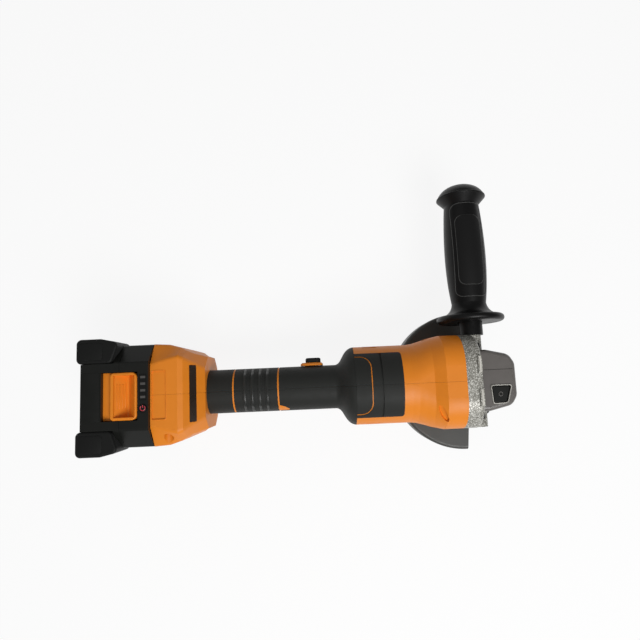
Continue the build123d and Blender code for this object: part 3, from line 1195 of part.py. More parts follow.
def battery():
    """Case halves, bumpers, cells, board, gauge, latch and screws."""
    case = cut_battery_top(battery_case())
    tray_side = block(-400, BATTERY_SPLIT_X - PART_GAP / 2, -100, 100, -100, 100)
    cover_side = block(BATTERY_SPLIT_X + PART_GAP / 2, 0, -100, 100, -100, 100)
    screws = []
    well_r, well_depth = BATTERY_SCREW_WELL
    screw_y = BATTERY_HALF - BATTERY_WALL - well_r
    head_x = BATTERY_REAR_X + well_depth
    tip_x = BATTERY_SPLIT_X + BATTERY_SCREW_BITE
    one = screw(*BATTERY_SCREW_HEAD, BATTERY_SCREW_R, tip_x - head_x)
    for y in (screw_y, -screw_y):
        for z in (BATTERY_BOTTOM_Z + BATTERY_SCREW_Z, BATTERY_TOP_Z - BATTERY_SCREW_Z):
            boss = along_x(BATTERY_BOSS_R, BATTERY_REAR_X + 1, CELL_SPACE_X, y, z)
            case += boss & block(-400, 0, *sorted((math.copysign(CELL_LENGTH / 2 + 0.6, y), y * 2)), -90, 60)
            case -= along_x(BATTERY_SCREW_R, BATTERY_REAR_X, tip_x + 1, y, z)
            case -= along_x(well_r, BATTERY_REAR_X - 1, head_x, y, z)
            screws.append(Pos(head_x, y, z) * Rot(0, -90, 0) * one)

    bumpers = []
    top = prism(bumper_outline(), BATTERY_TOP_Z - BUMPER_HEIGHT, BATTERY_TOP_Z)
    top = fillet(top.faces().sort_by(Axis.Z)[-1].edges(), BUMPER_EDGE)
    low = prism(bumper_outline(), BATTERY_BOTTOM_Z, BATTERY_BOTTOM_Z + BUMPER_HEIGHT - 6)
    room = battery_form(-PART_GAP)
    for one, roof in ((top, BATTERY_TOP_Z - BUMPER_SEAT + PART_GAP), (low, BATTERY_TOP_Z)):
        left = one - (room & block(-400, 0, -60, 60, -100, roof))
        bumpers += [*left.solids(), *mirror(left, about=Plane.XZ).solids()]

    cells = []
    for x in (CELL_REAR_X, CELL_FRONT_X):
        for i in range(CELL_ROWS):
            cells.append(along_y(CELL_R, -CELL_LENGTH / 2, CELL_LENGTH / 2, x, CELL_LOW_Z + i * CELL_PITCH))
    strips = []
    for side in (1, -1):
        y0, y1 = sorted((side * CELL_LENGTH / 2, side * (CELL_LENGTH / 2 + 0.4)))
        for i in range(CELL_ROWS):
            z = CELL_LOW_Z + i * CELL_PITCH
            strips.append(block(CELL_REAR_X - 4, CELL_FRONT_X + 4, y0, y1, z - 3.5, z + 3.5))
    board = block(CELL_REAR_X - 6, CELL_FRONT_X + 6, -28, 28, CELLS_TOP_Z + 0.5, CELLS_TOP_Z + 2.1)

    leds = []
    led_x, led_y = GAUGE_LED[0] / 2, GAUGE_LED[1] / 2
    led_z = (BATTERY_TOP_Z - GAUGE_LED_SINK, BATTERY_TOP_Z + GAUGE_LED_RISE)
    for y in GAUGE_LED_Y:
        leds.append(block(GAUGE_X - led_x, GAUGE_X + led_x, y - led_y, y + led_y, *led_z))
    window = gauge_window(0)
    for led in leds:
        window -= led
    button_top = BATTERY_TOP_Z + GAUGE_BUTTON_RISE
    button = along_z(GAUGE_BUTTON_R, GAUGE_BUTTON_LOW_Z, button_top, GAUGE_X, GAUGE_BUTTON_Y)
    button = fillet(button.faces().sort_by(Axis.Z)[-1].edges(), 0.5)
    return {
        "battery_tray": case & tray_side,
        "battery_cover": case & cover_side,
        "battery_cells": cells,
        "cell_strips": strips,
        "battery_board": board,
        "battery_screws": screws,
        "corner_bumpers": bumpers,
        "gauge_window": window,
        "gauge_lights": leds,
        "gauge_button": button,
    }


def battery_latch():
    """The latch button on top of the battery, and its spring."""
    tail_x = LATCH_X[0] - LATCH_TAIL
    front = plan_rectangle(tail_x - 2 * LATCH_CORNER[1], LATCH_X[1], LATCH_HALF, LATCH_CORNER[1])
    latch = block(tail_x, LATCH_X[1], -LATCH_HALF, LATCH_HALF, LATCH_FLOOR_Z, LATCH_LOW_Z)
    latch &= prism(front, LATCH_FLOOR_Z, LATCH_LOW_Z)
    frame = plan_rectangle(LATCH_FRAME_X, LATCH_X[1], LATCH_HALF, LATCH_CORNER[0]) & front
    top_z = BATTERY_TOP_Z + LATCH_RISE
    raised = prism(frame, LATCH_FLOOR_Z, top_z)
    latch += fillet(raised.faces().sort_by(Axis.Z)[-1].edges(), LATCH_EDGE)
    rear_x, front_x = LATCH_FRAME_X + SCOOP_RIM[0], LATCH_X[1] - SCOOP_RIM[1]
    half_width = LATCH_HALF - SCOOP_SIDE_RIM
    low_x, low_z = rear_x + SCOOP_SLOPE, BATTERY_TOP_Z - SCOOP_DEPTH
    side = Plane.XZ.offset(-half_width) * Polygon(
        (rear_x, top_z + 2), (rear_x + SCOOP_LEAN, BATTERY_TOP_Z - 1), (low_x, low_z),
        (low_x + SCOOP_FLOOR, low_z), (front_x, top_z), (front_x, top_z + 2), align=None,
    )
    latch -= extrude(side, 2 * half_width, dir=(0, -1, 0))
    bore_end = tail_x + LATCH_BORE
    bore_z = (LATCH_FLOOR_Z + low_z) / 2
    latch -= along_x(LATCH_SPRING_R + LATCH_BORE_ROOM, tail_x - 1, bore_end, 0, bore_z)
    wall_x = tail_x - LATCH_TRAVEL - LATCH_TAIL_ROOM
    coil = spring(
        LATCH_SPRING_R - LATCH_SPRING_WIRE, LATCH_SPRING_WIRE, bore_end - wall_x, LATCH_SPRING_TURNS
    )
    return {"battery_latch": latch, "latch_spring": Pos(wall_x, 0, bore_z) * Rot(0, 90, 0) * coil}


def main():
    """Builds every piece and writes each to its own file."""
    os.makedirs("parts", exist_ok=True)
    pieces = {}
    makers = (
        body, electrics, motor, gear_head, spindle_lock, guard, side_handle, switch, battery, battery_latch,
    )
    for make in makers:
        pieces.update(make())
        print(make.__name__, len(pieces), flush=True)
    for name, piece in pieces.items():
        solids = []
        for one in piece if isinstance(piece, list) else [piece]:
            solids += (Pos(0, 0, -SPINDLE_TIP_Z) * one).solids()
        export_step(Compound(solids), f"parts/{name}.step")


if __name__ == "__main__":
    main()
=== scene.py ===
"""Cordless angle grinder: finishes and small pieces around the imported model, in a plain studio."""

import logging
import math
from contextlib import contextmanager
from dataclasses import dataclass, field
from enum import Enum
from typing import Callable, Iterator

import bmesh
import bpy
from mathutils import Matrix, Vector


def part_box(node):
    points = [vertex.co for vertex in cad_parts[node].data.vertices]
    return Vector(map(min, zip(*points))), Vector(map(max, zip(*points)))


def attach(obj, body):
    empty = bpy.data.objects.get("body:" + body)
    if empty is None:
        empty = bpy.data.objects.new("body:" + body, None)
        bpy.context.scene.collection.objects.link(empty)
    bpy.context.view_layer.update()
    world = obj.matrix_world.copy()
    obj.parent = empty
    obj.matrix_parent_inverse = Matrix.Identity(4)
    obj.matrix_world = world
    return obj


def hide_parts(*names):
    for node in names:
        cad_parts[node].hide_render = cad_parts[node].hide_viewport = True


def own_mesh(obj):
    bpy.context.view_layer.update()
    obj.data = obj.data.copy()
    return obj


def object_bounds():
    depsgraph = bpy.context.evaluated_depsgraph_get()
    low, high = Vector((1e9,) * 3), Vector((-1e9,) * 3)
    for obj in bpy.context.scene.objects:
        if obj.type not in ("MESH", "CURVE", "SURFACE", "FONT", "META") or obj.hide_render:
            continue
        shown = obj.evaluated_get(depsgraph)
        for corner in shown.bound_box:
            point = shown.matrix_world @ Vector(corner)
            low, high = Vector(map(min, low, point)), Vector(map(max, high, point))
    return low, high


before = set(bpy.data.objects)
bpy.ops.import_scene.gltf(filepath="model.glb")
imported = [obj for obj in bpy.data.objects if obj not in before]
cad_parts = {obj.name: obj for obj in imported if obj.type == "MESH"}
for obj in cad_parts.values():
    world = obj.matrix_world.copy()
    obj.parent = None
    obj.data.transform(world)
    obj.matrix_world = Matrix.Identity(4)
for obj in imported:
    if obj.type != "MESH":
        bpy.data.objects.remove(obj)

CAD_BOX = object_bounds()
LOG = logging.getLogger("grinder")

# Lengths in metres
MM = 0.001
UM = 1e-6
START_SIZE = 0.01  # of a primitive whose points are placed one by one

# Lengths in millimetres
MOTOR_AXIS_Z = 65.0  # above the spindle's lower end
PROBE_Z = 200.0  # above the whole tool
FLOOR_GAP = 0.05  # under the tool, which rests on the floor
SPRING_PLAY_MM = 0.05  # left free at each end of a spring

# Counts, shares and angles
SPRING_STEPS = 24  # points on each turn of a spring
CORNER_STEPS = 6  # points on a rounded corner
BEAD_STEPS = 2  # how finely a bead is rounded
PLATE_STEPS = 5  # cuts across a plate's rounded corner
BEVEL_STEPS = 2  # cuts across a bevelled edge
PLATE_EDGE = 0.5  # share of a plate's thickness that its upper edge is bevelled
PLANE_ORDER = (0, 1, 3, 2)  # points of a new plane, going around it
SHARP_DEG = 30.0  # edges sharper than this are bevelled
SMOOTH_DEG = 35.0  # edges flatter than this are shaded smooth

# Patterns
CLOUD_DETAIL, GRAIN_DETAIL, WAVE_DETAIL = 3.0, 2.0, 1.0  # finer layers in each pattern
WAVE_DISTORTION = 0.4
CLOUD_RANGE = (0.25, 0.75)  # where most of a noise lies
GLOSS_DRIFT = 0.05  # how far the roughness varies
FLAKE_RANGE = (0.62, 0.92)  # the grains that begin to shine and that shine fully
WAVE_RATE = 20.0  # radians in one unit of a wave texture
MIX_FACTOR, MIX_A, MIX_B, MIX_RESULT = 0, 6, 7, 2  # sockets of a colour mix


# Nodes and colours
def linear(code: str) -> tuple[float, float, float, float]:
    """Turns an sRGB hex colour to linear light.

    Args:
        code: six hex digits.

    Returns:
        Red, green, blue and a full alpha.
    """
    parts = [int(code[i : i + 2], 16) / 255 for i in (0, 2, 4)]
    light = [p / 12.92 if p <= 0.04045 else ((p + 0.055) / 1.055) ** 2.4 for p in parts]
    return light[0], light[1], light[2], 1.0


def shaded(code: str, share: float) -> tuple[float, float, float, float]:
    """A hex colour in linear light, made lighter or darker by a share.

    Args:
        code: six hex digits.
        share: for example 0.1 for a tenth lighter, -0.1 for a tenth darker.

    Returns:
        Red, green, blue and a full alpha.
    """
    red, green, blue, alpha = linear(code)
    gain = 1 + share
    return min(red * gain, 1.0), min(green * gain, 1.0), min(blue * gain, 1.0), alpha


def add_node(
    tree: bpy.types.NodeTree,
    kind: str,
    settings: dict | None = None,
    inputs: dict | None = None,
    links: dict | None = None,
) -> bpy.types.Node:
    """Adds one node.

    Args:
        tree: the node tree.
        kind: the node's Blender type.
        settings: its properties.
        inputs: values of its input sockets, by name or number.
        links: output sockets to join to its inputs, by name or number.

    Returns:
        The new node.
    """
    node = tree.nodes.new(kind)
    for name, value in (settings or {}).items():
        setattr(node, name, value)
    for name, value in (inputs or {}).items():
        node.inputs[name].default_value = value
    for name, source in (links or {}).items():
        tree.links.new(source, node.inputs[name])
    return node


class Relief(Enum):
    """How a surface was made, as the relief that this leaves."""

    MOULDED = "moulded"
    FLAKES = "flakes"
    BANDS_X = "bands along X"
    BANDS_Y = "bands along Y"
    BANDS_Z = "bands along Z"
    RINGS_Z = "rings about Z"


@dataclass(frozen=True)
class Finish:
    """A real material: its colour and the surface that its making leaves."""

    name: str
    colour: str
    roughness: float
    metallic: float = 0.0
    ior: float = 1.5
    drift: float = 0.06  # how far the colour varies, as a share
    drift_mm: float = 9.0
    relief: Relief = Relief.MOULDED
    pitch_mm: float = 0.5  # grain size, or the spacing of bands
    depth_um: float = 12.0
    sheen: float = 0.0
    flake: str = ""  # colour of bright flakes, if it has any

    def material(self) -> bpy.types.Material:
        """Returns the material, made on its first use."""
        return bpy.data.materials.get(self.name) or self._make()

    def _make(self) -> bpy.types.Material:
        """Builds the nodes.

        Returns:
            The new material.
        """
        material = bpy.data.materials.new(self.name)
        material.use_nodes = True
        tree = material.node_tree
        shader = tree.nodes["Principled BSDF"]
        shader.inputs["Metallic"].default_value = self.metallic
        shader.inputs["IOR"].default_value = self.ior
        shader.inputs["Sheen Weight"].default_value = self.sheen
        place = add_node(tree, "ShaderNodeTexCoord").outputs["Object"]
        cloud = add_node(
            tree,
            "ShaderNodeTexNoise",
            inputs={"Scale": 1 / (self.drift_mm * MM), "Detail": CLOUD_DETAIL},
            links={"Vector": place},
        ).outputs["Fac"]
        height, cell = self._height(tree, place)
        tree.links.new(self._tint(tree, cloud, cell), shader.inputs["Base Color"])
        gloss = add_node(
            tree,
            "ShaderNodeMapRange",
            inputs={
                "From Min": CLOUD_RANGE[0],
                "From Max": CLOUD_RANGE[1],
                "To Min": self.roughness - GLOSS_DRIFT,
                "To Max": self.roughness + GLOSS_DRIFT,
            },
            links={"Value": cloud},
        )
        tree.links.new(gloss.outputs["Result"], shader.inputs["Roughness"])
        bump = add_node(
            tree,
            "ShaderNodeBump",
            inputs={"Strength": 1.0, "Distance": self.depth_um * UM},
            links={"Height": height},
        )
        tree.links.new(bump.outputs["Normal"], shader.inputs["Normal"])
        return material

    def _height(
        self, tree: bpy.types.NodeTree, place: bpy.types.NodeSocket
    ) -> tuple[bpy.types.NodeSocket, bpy.types.NodeSocket]:
        """Adds the relief pattern.

        Args:
            tree: the material's nodes.
            place: Object coordinates.

        Returns:
            The height, and a value that differs from grain to grain.
        """
        pitch = self.pitch_mm * MM
        if self.relief is Relief.MOULDED:
            noise = add_node(
                tree,
                "ShaderNodeTexNoise",
                inputs={"Scale": 1 / pitch, "Detail": GRAIN_DETAIL},
                links={"Vector": place},
            )
            return noise.outputs["Fac"], noise.outputs["Fac"]
        if self.relief is Relief.FLAKES:
            cells = add_node(
                tree, "ShaderNodeTexVoronoi", inputs={"Scale": 1 / pitch}, links={"Vector": place}
            )
            split = add_node(
                tree, "ShaderNodeSeparateColor", links={"Color": cells.outputs["Color"]}
            )
            return cells.outputs["Distance"], split.outputs["Red"]
        words = self.relief.name.split("_")
        axis_setting = "bands_direction" if words[0] == "BANDS" else "rings_direction"
        wave = add_node(
            tree,
            "ShaderNodeTexWave",
            settings={"wave_type": words[0], axis_setting: words[1]},
            inputs={
                "Scale": 2 * math.pi / (WAVE_RATE * pitch),
                "Distortion": WAVE_DISTORTION,
                "Detail": WAVE_DETAIL,
            },
            links={"Vector": place},
        )
        return wave.outputs["Fac"], wave.outputs["Fac"]

    def _tint(
        self, tree: bpy.types.NodeTree, cloud: bpy.types.NodeSocket, cell: bpy.types.NodeSocket
    ) -> bpy.types.NodeSocket:
        """Adds the colour, which drifts a little and carries any flakes.

        Args:
            tree: the material's nodes.
            cloud: a slow noise.
            cell: a value that differs from grain to grain.

        Returns:
            The colour.
        """
        mix = add_node(
            tree,
            "ShaderNodeMix",
            settings={"data_type": "RGBA"},
            inputs={
                MIX_A: shaded(self.colour, -self.drift),
                MIX_B: shaded(self.colour, self.drift),
            },
            links={MIX_FACTOR: cloud},
        )
        if not self.flake:
            return mix.outputs[MIX_RESULT]
        share = add_node(
            tree,
            "ShaderNodeMapRange",
            inputs={"From Min": FLAKE_RANGE[0], "From Max": FLAKE_RANGE[1]},
            links={"Value": cell},
        )
        flakes = add_node(
            tree,
            "ShaderNodeMix",
            settings={"data_type": "RGBA"},
            inputs={MIX_B: linear(self.flake)},
            links={MIX_FACTOR: share.outputs["Result"], MIX_A: mix.outputs[MIX_RESULT]},
        )
        return flakes.outputs[MIX_RESULT]


# Moulded plastics keep the spark-eroded grain of their mould, drawn coarser so that it shows.
ORANGE_NYLON = Finish(
    "orange_glass_filled_nylon", "E6851D", 0.46, ior=1.4, drift=0.04, pitch_mm=0.6, depth_um=10,
)
BLACK_NYLON = Finish(
    "black_glass_filled_nylon", "181917", 0.38, ior=1.3, drift=0.1, pitch_mm=0.5, depth_um=10,
)
HANDLE_NYLON = Finish(
    "black_handle_nylon", "0E0E0E", 0.38, ior=1.3, drift=0.1, pitch_mm=0.5, depth_um=10,
)
COVER_ABS = Finish("grey_satin_abs", "64605D", 0.3, drift=0.05, pitch_mm=0.7, depth_um=5)
FAN_NYLON = Finish("black_fan_nylon", "2A2A2C", 0.5, pitch_mm=0.6)
# Soft overmoulds scatter light at the rim, with a fine leathery grain.
SOFT_TPE = Finish(
    "black_soft_overmould", "252624", 0.6, ior=1.3, drift=0.08, pitch_mm=0.55, depth_um=18,
    sheen=0.05,
)
HANDLE_TPE = Finish(
    "black_handle_overmould", "0F0F0F", 0.6, ior=1.3, drift=0.08, pitch_mm=0.7, depth_um=20,
    sheen=0.05,
)
HARD_RUBBER = Finish(
    "black_moulded_rubber", "101110", 0.6, ior=1.3, drift=0.1, pitch_mm=0.8, depth_um=16,
    sheen=0.05,
)
# The crests of the grip's ribs are rubbed bright.
RUBBED_TPE = Finish("rubbed_overmould", "252624", 0.3, drift=0.08, pitch_mm=0.5, depth_um=6)
# Film, lenses, ink and fine lines are smooth.
DARK_FILM = Finish("dark_printed_film", "2B221B", 0.3, drift=0.08, pitch_mm=1.2, depth_um=3)
GAUGE_LENS = Finish("frosted_light_lens", "504E4C", 0.45, ior=1.35, pitch_mm=0.5, depth_um=4)
SMOKED_WINDOW = Finish("smoked_gauge_window", "131312", 0.35, ior=1.3, pitch_mm=0.8, depth_um=3)
RED_INK = Finish("red_pad_print", "C23A48", 0.4, drift=0.1, pitch_mm=0.5, depth_um=4)
# The handle's raised lines are a lighter grey than the handle: a painted highlight along their
# edges.
PAINTED_HIGHLIGHT_BEAD = Finish("grey_moulded_bead", "4A4A49", 0.4, ior=1.35, pitch_mm=0.5, depth_um=4)
# The pale line on the lock's rim: the rim's worn edge, lightened as a painted highlight.
PAINTED_HIGHLIGHT_LINE = Finish("pale_line_paint", "B9B7AF", 0.35, drift=0.05, pitch_mm=0.6, depth_um=4)
# Die-cast aluminium under a coarse sparkle paint, whose flakes catch the light one by one.
SPARKLE_CAST = Finish(
    "sparkle_painted_die_casting", "7E7C74", 0.42, metallic=0.2, drift=0.05,
    relief=Relief.FLAKES, pitch_mm=0.55, depth_um=25, flake="DFDED6",
)
# A pale bead on the crest of each flange tab stands for its bright edge: a painted highlight.
PAINTED_HIGHLIGHT_CAST = Finish("bare_die_casting", "DEDBD2", 0.3, metallic=0.2, pitch_mm=0.5, depth_um=6)
# Powder coat has the dimples of paint that flowed as it cured.
POWDER_COAT = Finish("grey_powder_coat", "3E3E3B", 0.45, drift=0.05, pitch_mm=1.6, depth_um=18)
# Turned, ground and threaded steels show the path of the tool.
TURNED_STEEL = Finish(
    "turned_steel", "8E8E8C", 0.3, metallic=1.0, relief=Relief.RINGS_Z, pitch_mm=0.5,
    depth_um=4,
)
SHAFT_STEEL = Finish(
    "ground_shaft_steel", "9A9A98", 0.25, metallic=1.0, relief=Relief.BANDS_X, pitch_mm=0.4,
    depth_um=2,
)
THREADED_STEEL = Finish(
    "rolled_thread_steel", "858583", 0.35, metallic=1.0, relief=Relief.BANDS_Z, pitch_mm=2.0,
    depth_um=250,
)
STUD_STEEL = Finish(
    "zinc_plated_stud", "A2A29C", 0.35, metallic=1.0, relief=Relief.BANDS_Y, pitch_mm=1.25,
    depth_um=180,
)
BLACK_OXIDE = Finish("black_oxide_steel", "1B1B1C", 0.4, metallic=0.6, pitch_mm=0.4, depth_um=6)
SPRING_STEEL = Finish("spring_steel", "77787A", 0.3, metallic=1.0, pitch_mm=0.4, depth_um=2)
CUT_GEAR = Finish(
    "cut_gear_steel", "6C6C6A", 0.35, metallic=1.0, relief=Relief.RINGS_Z, pitch_mm=0.6,
    depth_um=5,
)
PLATED_STRIP = Finish("nickel_plated_strip", "A9A79E", 0.28, metallic=1.0, pitch_mm=0.6, depth_um=3)
MAGNET = Finish("nickel_plated_magnet", "8F9194", 0.25, metallic=1.0, pitch_mm=0.8, depth_um=2)
# Stacked sheets and windings: real spacing under a millimetre, drawn at 1 mm so that they show.
LAMINATIONS = Finish(
    "stacked_electrical_steel", "6B6C70", 0.45, metallic=0.8, relief=Relief.BANDS_X,
    pitch_mm=1.0, depth_um=40,
)
COPPER_WIRE = Finish(
    "enamelled_copper_wire", "B4662E", 0.3, metallic=0.9, relief=Relief.BANDS_Y, pitch_mm=1.0,
    depth_um=120,
)
# A board's copper shows in patches, shrink wrap puckers in bands, and felt is matted.
GREEN_BOARD = Finish(
    "solder_masked_board", "1F5A36", 0.35, drift=0.25, drift_mm=3.0, relief=Relief.FLAKES,
    pitch_mm=2.0, depth_um=15,
)
CELL_WRAP = Finish(
    "shrink_wrapped_cell", "3E6C8C", 0.3, relief=Relief.BANDS_Y, pitch_mm=6.0, depth_um=20,
)
FELT = Finish(
    "pressed_felt", "6E6A60", 0.9, drift=0.2, drift_mm=2.0, pitch_mm=0.6, depth_um=80,
    sheen=0.4,
)


# Modelling steps
@contextmanager
def editing(piece: bpy.types.Object) -> Iterator[None]:
    """Edit mode on one piece, with nothing selected at the start.

    Args:
        piece: the piece to edit.

    Yields:
        Nothing; the piece is back in object mode afterwards.
    """
    bpy.ops.object.select_all(action="DESELECT")
    bpy.context.view_layer.objects.active = piece
    piece.select_set(True)
    bpy.ops.object.mode_set(mode="EDIT")
    bpy.ops.mesh.select_all(action="DESELECT")
    yield
    bpy.ops.object.mode_set(mode="OBJECT")


def pick_edges(piece: bpy.types.Object, test: Callable[[bmesh.types.BMEdge], bool]) -> None:
    """Selects the edges of a piece in edit mode that pass a test.

    Args:
        piece: the piece in edit mode.
        test: says whether an edge is wanted.
    """
    bpy.ops.mesh.select_mode(type="EDGE")
    mesh = bmesh.from_edit_mesh(piece.data)
    for edge in mesh.edges:
        edge.select_set(test(edge))
    bmesh.update_edit_mesh(piece.data)


def is_sharp(edge: bmesh.types.BMEdge) -> bool:
    """Says whether two faces meet sharply in an edge.

    Args:
        edge: an edge of a piece in edit mode.

    Returns:
        True for a sharp edge.
    """
    return len(edge.link_faces) == 2 and edge.calc_face_angle() > math.radians(SHARP_DEG)


def start_piece(name: str, add: Callable[..., set], **sizes: object) -> bpy.types.Object:
    """Adds a primitive and names it.

    Args:
        name: the piece's name.
        add: the operator that adds the primitive.
        sizes: its arguments, in metres.

    Returns:
        The new piece.
    """
    bpy.ops.object.select_all(action="DESELECT")
    add(**sizes)
    piece = bpy.context.active_object
    piece.name = name
    piece.data.name = name
    return piece


def copies(piece: bpy.types.Object, offsets: list[Vector]) -> bpy.types.Object:
    """Repeats a piece at offsets and joins all of them into it.

    Args:
        piece: the first one.
        offsets: where the others stand, from the first.

    Returns:
        The joined piece.
    """
    made = [piece]
    for offset in offsets:
        other = piece.copy()
        other.data = piece.data.copy()
        other.data.transform(Matrix.Translation(offset))
        bpy.context.scene.collection.objects.link(other)
        made.append(other)
    bpy.ops.object.select_all(action="DESELECT")
    for one in made:
        one.select_set(True)
    bpy.context.view_layer.objects.active = piece
    bpy.ops.object.join()
    return piece


def settle(piece: bpy.types.Object, body: str, finish: Finish) -> bpy.types.Object:
    """Puts a piece's place into its mesh, gives it its finish and lets it ride on a body.

    Args:
        piece: the finished piece.
        body: the body that carries it.
        finish: its finish.

    Returns:
        The piece.
    """
    bpy.ops.object.select_all(action="DESELECT")
    bpy.context.view_layer.objects.active = piece
    piece.select_set(True)
    bpy.ops.object.transform_apply(location=True, rotation=True, scale=True)
    bpy.ops.object.shade_smooth_by_angle(angle=math.radians(SMOOTH_DEG))
    piece.data.materials.clear()
    piece.data.materials.append(finish.material())
    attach(piece, body)
    LOG.info("piece %s on %s: %d faces", piece.name, body, len(piece.data.polygons))
    return piece


def spot(x: float, y: float, z: float) -> Vector:
    """Turns a point of the tool to the shared frame.

    Args:
        x: distance from the spindle axis along X, in mm.
        y: distance from the spindle axis along Y, in mm.
        z: height over the motor axis, in mm.

    Returns:
        The point in metres.
    """
    return Vector((x, y, z + MOTOR_AXIS_Z)) * MM


def surface_z(names: tuple[str, ...], x: float, y: float) -> float:
    """Finds the top of some nodes over a point.

    Args:
        names: the nodes to look at.
        x: distance from the spindle axis along X, in mm.
        y: distance from the spindle axis along Y, in mm.

    Returns:
        The height over the motor axis, in mm.
    """
    tops = []
    for name in names:
        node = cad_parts[name]
        to_node = node.matrix_world.inverted()
        down = to_node.to_3x3() @ Vector((0, 0, -1))
        found, place, _, _ = node.ray_cast(to_node @ spot(x, y, PROBE_Z), down)
        if found:
            tops.append((node.matrix_world @ place).z / MM - MOTOR_AXIS_Z)
    return max(tops)


def rounded(corners: list[tuple[float, float]], radius: float) -> list[tuple[float, float]]:
    """Rounds the corners of a plan outline.

    Args:
        corners: the outline's corners, in mm.
        radius: how far from each corner the curve starts, in mm.

    Returns:
        The points of the rounded outline.
    """
    points = []
    for i, corner in enumerate(corners):
        here = Vector(corner)
        before = Vector(corners[i - 1])
        after = Vector(corners[(i + 1) % len(corners)])
        start = here + (before - here).normalized() * radius
        end = here + (after - here).normalized() * radius
        for k in range(CORNER_STEPS + 1):
            t = k / CORNER_STEPS
            point = start * (1 - t) ** 2 + here * 2 * t * (1 - t) + end * t**2
            points.append((point.x, point.y))
    return points


def rectangle(x0: float, x1: float, y0: float, y1: float) -> list[tuple[float, float]]:
    """Lists the corners of a plan rectangle.

    Args:
        x0: its rear edge, in mm.
        x1: its front edge, in mm.
        y0: its right edge, in mm.
        y1: its left edge, in mm.

    Returns:
        The four corners, in order.
    """
    return [(x0, y0), (x1, y0), (x1, y1), (x0, y1)]


def spread(half: float, count: int) -> list[float]:
    """Lists places spaced evenly to both sides of a middle.

    Args:
        half: how far the places reach to each side.
        count: the number of steps between them.

    Returns:
        The places, from the lowest up.
    """
    return [half * (2 * i / count - 1) for i in range(count + 1)]


def bead(name: str, path: list[Vector], radius_mm: float, closed: bool = True) -> bpy.types.Object:
    """Makes a round bead along a path.

    Args:
        name: the piece's name.
        path: its points, in metres.
        radius_mm: the bead's radius.
        closed: whether the end joins the start.

    Returns:
        The new piece.
    """
    piece = start_piece(
        name, bpy.ops.mesh.primitive_circle_add, vertices=len(path), radius=START_SIZE
    )
    with editing(piece):
        mesh = bmesh.from_edit_mesh(piece.data)
        for vertex, place in zip(mesh.verts, path):
            vertex.co = place
        bmesh.update_edit_mesh(piece.data)
        if not closed:
            ends = {0, len(path) - 1}
            pick_edges(piece, lambda edge: {v.index for v in edge.verts} == ends)
            bpy.ops.mesh.delete(type="EDGE")
    bpy.ops.object.convert(target="CURVE")
    curve = bpy.context.active_object
    curve.data.dimensions = "3D"
    curve.data.fill_mode = "FULL"
    curve.data.bevel_depth = radius_mm * MM
    curve.data.bevel_resolution = BEAD_STEPS
    curve.data.use_fill_caps = True
    bpy.ops.object.convert(target="MESH")
    return bpy.context.active_object


def coil_spring(
    node: str,
    axis: int,
    wire_mm: float,
    turns: int,
    body: str,
) -> bpy.types.Object:
    """Makes a compression spring in place of its stiff node.

    Args:
        node: the node that it stands for; the spring starts at the node's lower end.
        axis: 0, 1 or 2 for a spring along X, Y or Z.
        wire_mm: the wire's radius.
        turns: its number of turns.
        body: the body that its fixed end sits on.

    Returns:
        The new piece.
    """
    low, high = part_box(node)
    wire = wire_mm * MM
    across, up = (axis + 1) % 3, (axis + 2) % 3
    middle = (low + high) / 2
    radius = (high - low)[across] / 2 - wire
    length = (high - low)[axis] - 2 * SPRING_PLAY_MM * MM
    path = []
    for step in range(SPRING_STEPS * turns + 1):
        turn = 2 * math.pi * step / SPRING_STEPS
        place = middle.copy()
        place[across] += radius * math.cos(turn)
        place[up] += radius * math.sin(turn)
        place[axis] += (length - 2 * wire) * (step / (SPRING_STEPS * turns) - 0.5)
        path.append(place)
    coil = bead(f"{node}_coil", path, wire_mm, closed=False)
    spring = settle(coil, body, SPRING_STEEL)
    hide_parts(node)
    along = Vector((0, 0, 0))
    along[axis] = 1
    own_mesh(spring)
    return spring


def plate(
    name: str, corners: list[tuple[float, float]], round_mm: float, low_z: float, rise_mm: float
) -> bpy.types.Object:
    """Makes a thin raised plate with rounded corners and a soft upper edge.

    Args:
        name: the piece's name.
        corners: its four corners in plan, in mm, in order.
        round_mm: how far the corners are rounded.
        low_z: its underside over the motor axis, in mm.
        rise_mm: its thickness.

    Returns:
        The new piece.
    """
    piece = start_piece(name, bpy.ops.mesh.primitive_plane_add, size=START_SIZE)
    with editing(piece):
        mesh = bmesh.from_edit_mesh(piece.data)
        mesh.verts.ensure_lookup_table()
        for number, (x, y) in zip(PLANE_ORDER, corners):
            mesh.verts[number].co = spot(x, y, low_z)
        bmesh.update_edit_mesh(piece.data)
        bpy.ops.mesh.select_all(action="SELECT")
        bpy.ops.mesh.bevel(offset=round_mm * MM, segments=PLATE_STEPS, affect="VERTICES")
        bpy.ops.mesh.select_all(action="SELECT")
        bpy.ops.mesh.extrude_region_move(TRANSFORM_OT_translate={"value": (0, 0, rise_mm * MM)})
        bpy.ops.mesh.select_all(action="SELECT")
        bpy.ops.mesh.normals_make_consistent(inside=False)
        middle = (low_z + rise_mm / 2 + MOTOR_AXIS_Z) * MM
        pick_edges(piece, lambda edge: is_sharp(edge) and all(v.co.z > middle for v in edge.verts))
        offset = PLATE_EDGE * rise_mm * MM
        bpy.ops.mesh.bevel(offset=offset, segments=BEVEL_STEPS, affect="EDGES")
    return piece


# Sub-assemblies
@dataclass
class SubAssembly:
    """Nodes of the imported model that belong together, with their finishes.

    Sizes and places are in mm, from the spindle axis and the motor axis.
    """

    finishes: dict[str, Finish] = field(default_factory=dict)

    def build(self) -> None:
        """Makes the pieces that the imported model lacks; most sub-assemblies need none."""

    def dress(self) -> None:
        """Gives each node its finish."""
        for name, finish in self.finishes.items():
            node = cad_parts[name]
            node.data.materials.clear()
            node.data.materials.append(finish.material())
            LOG.info("node %s: %s", name, finish.name)


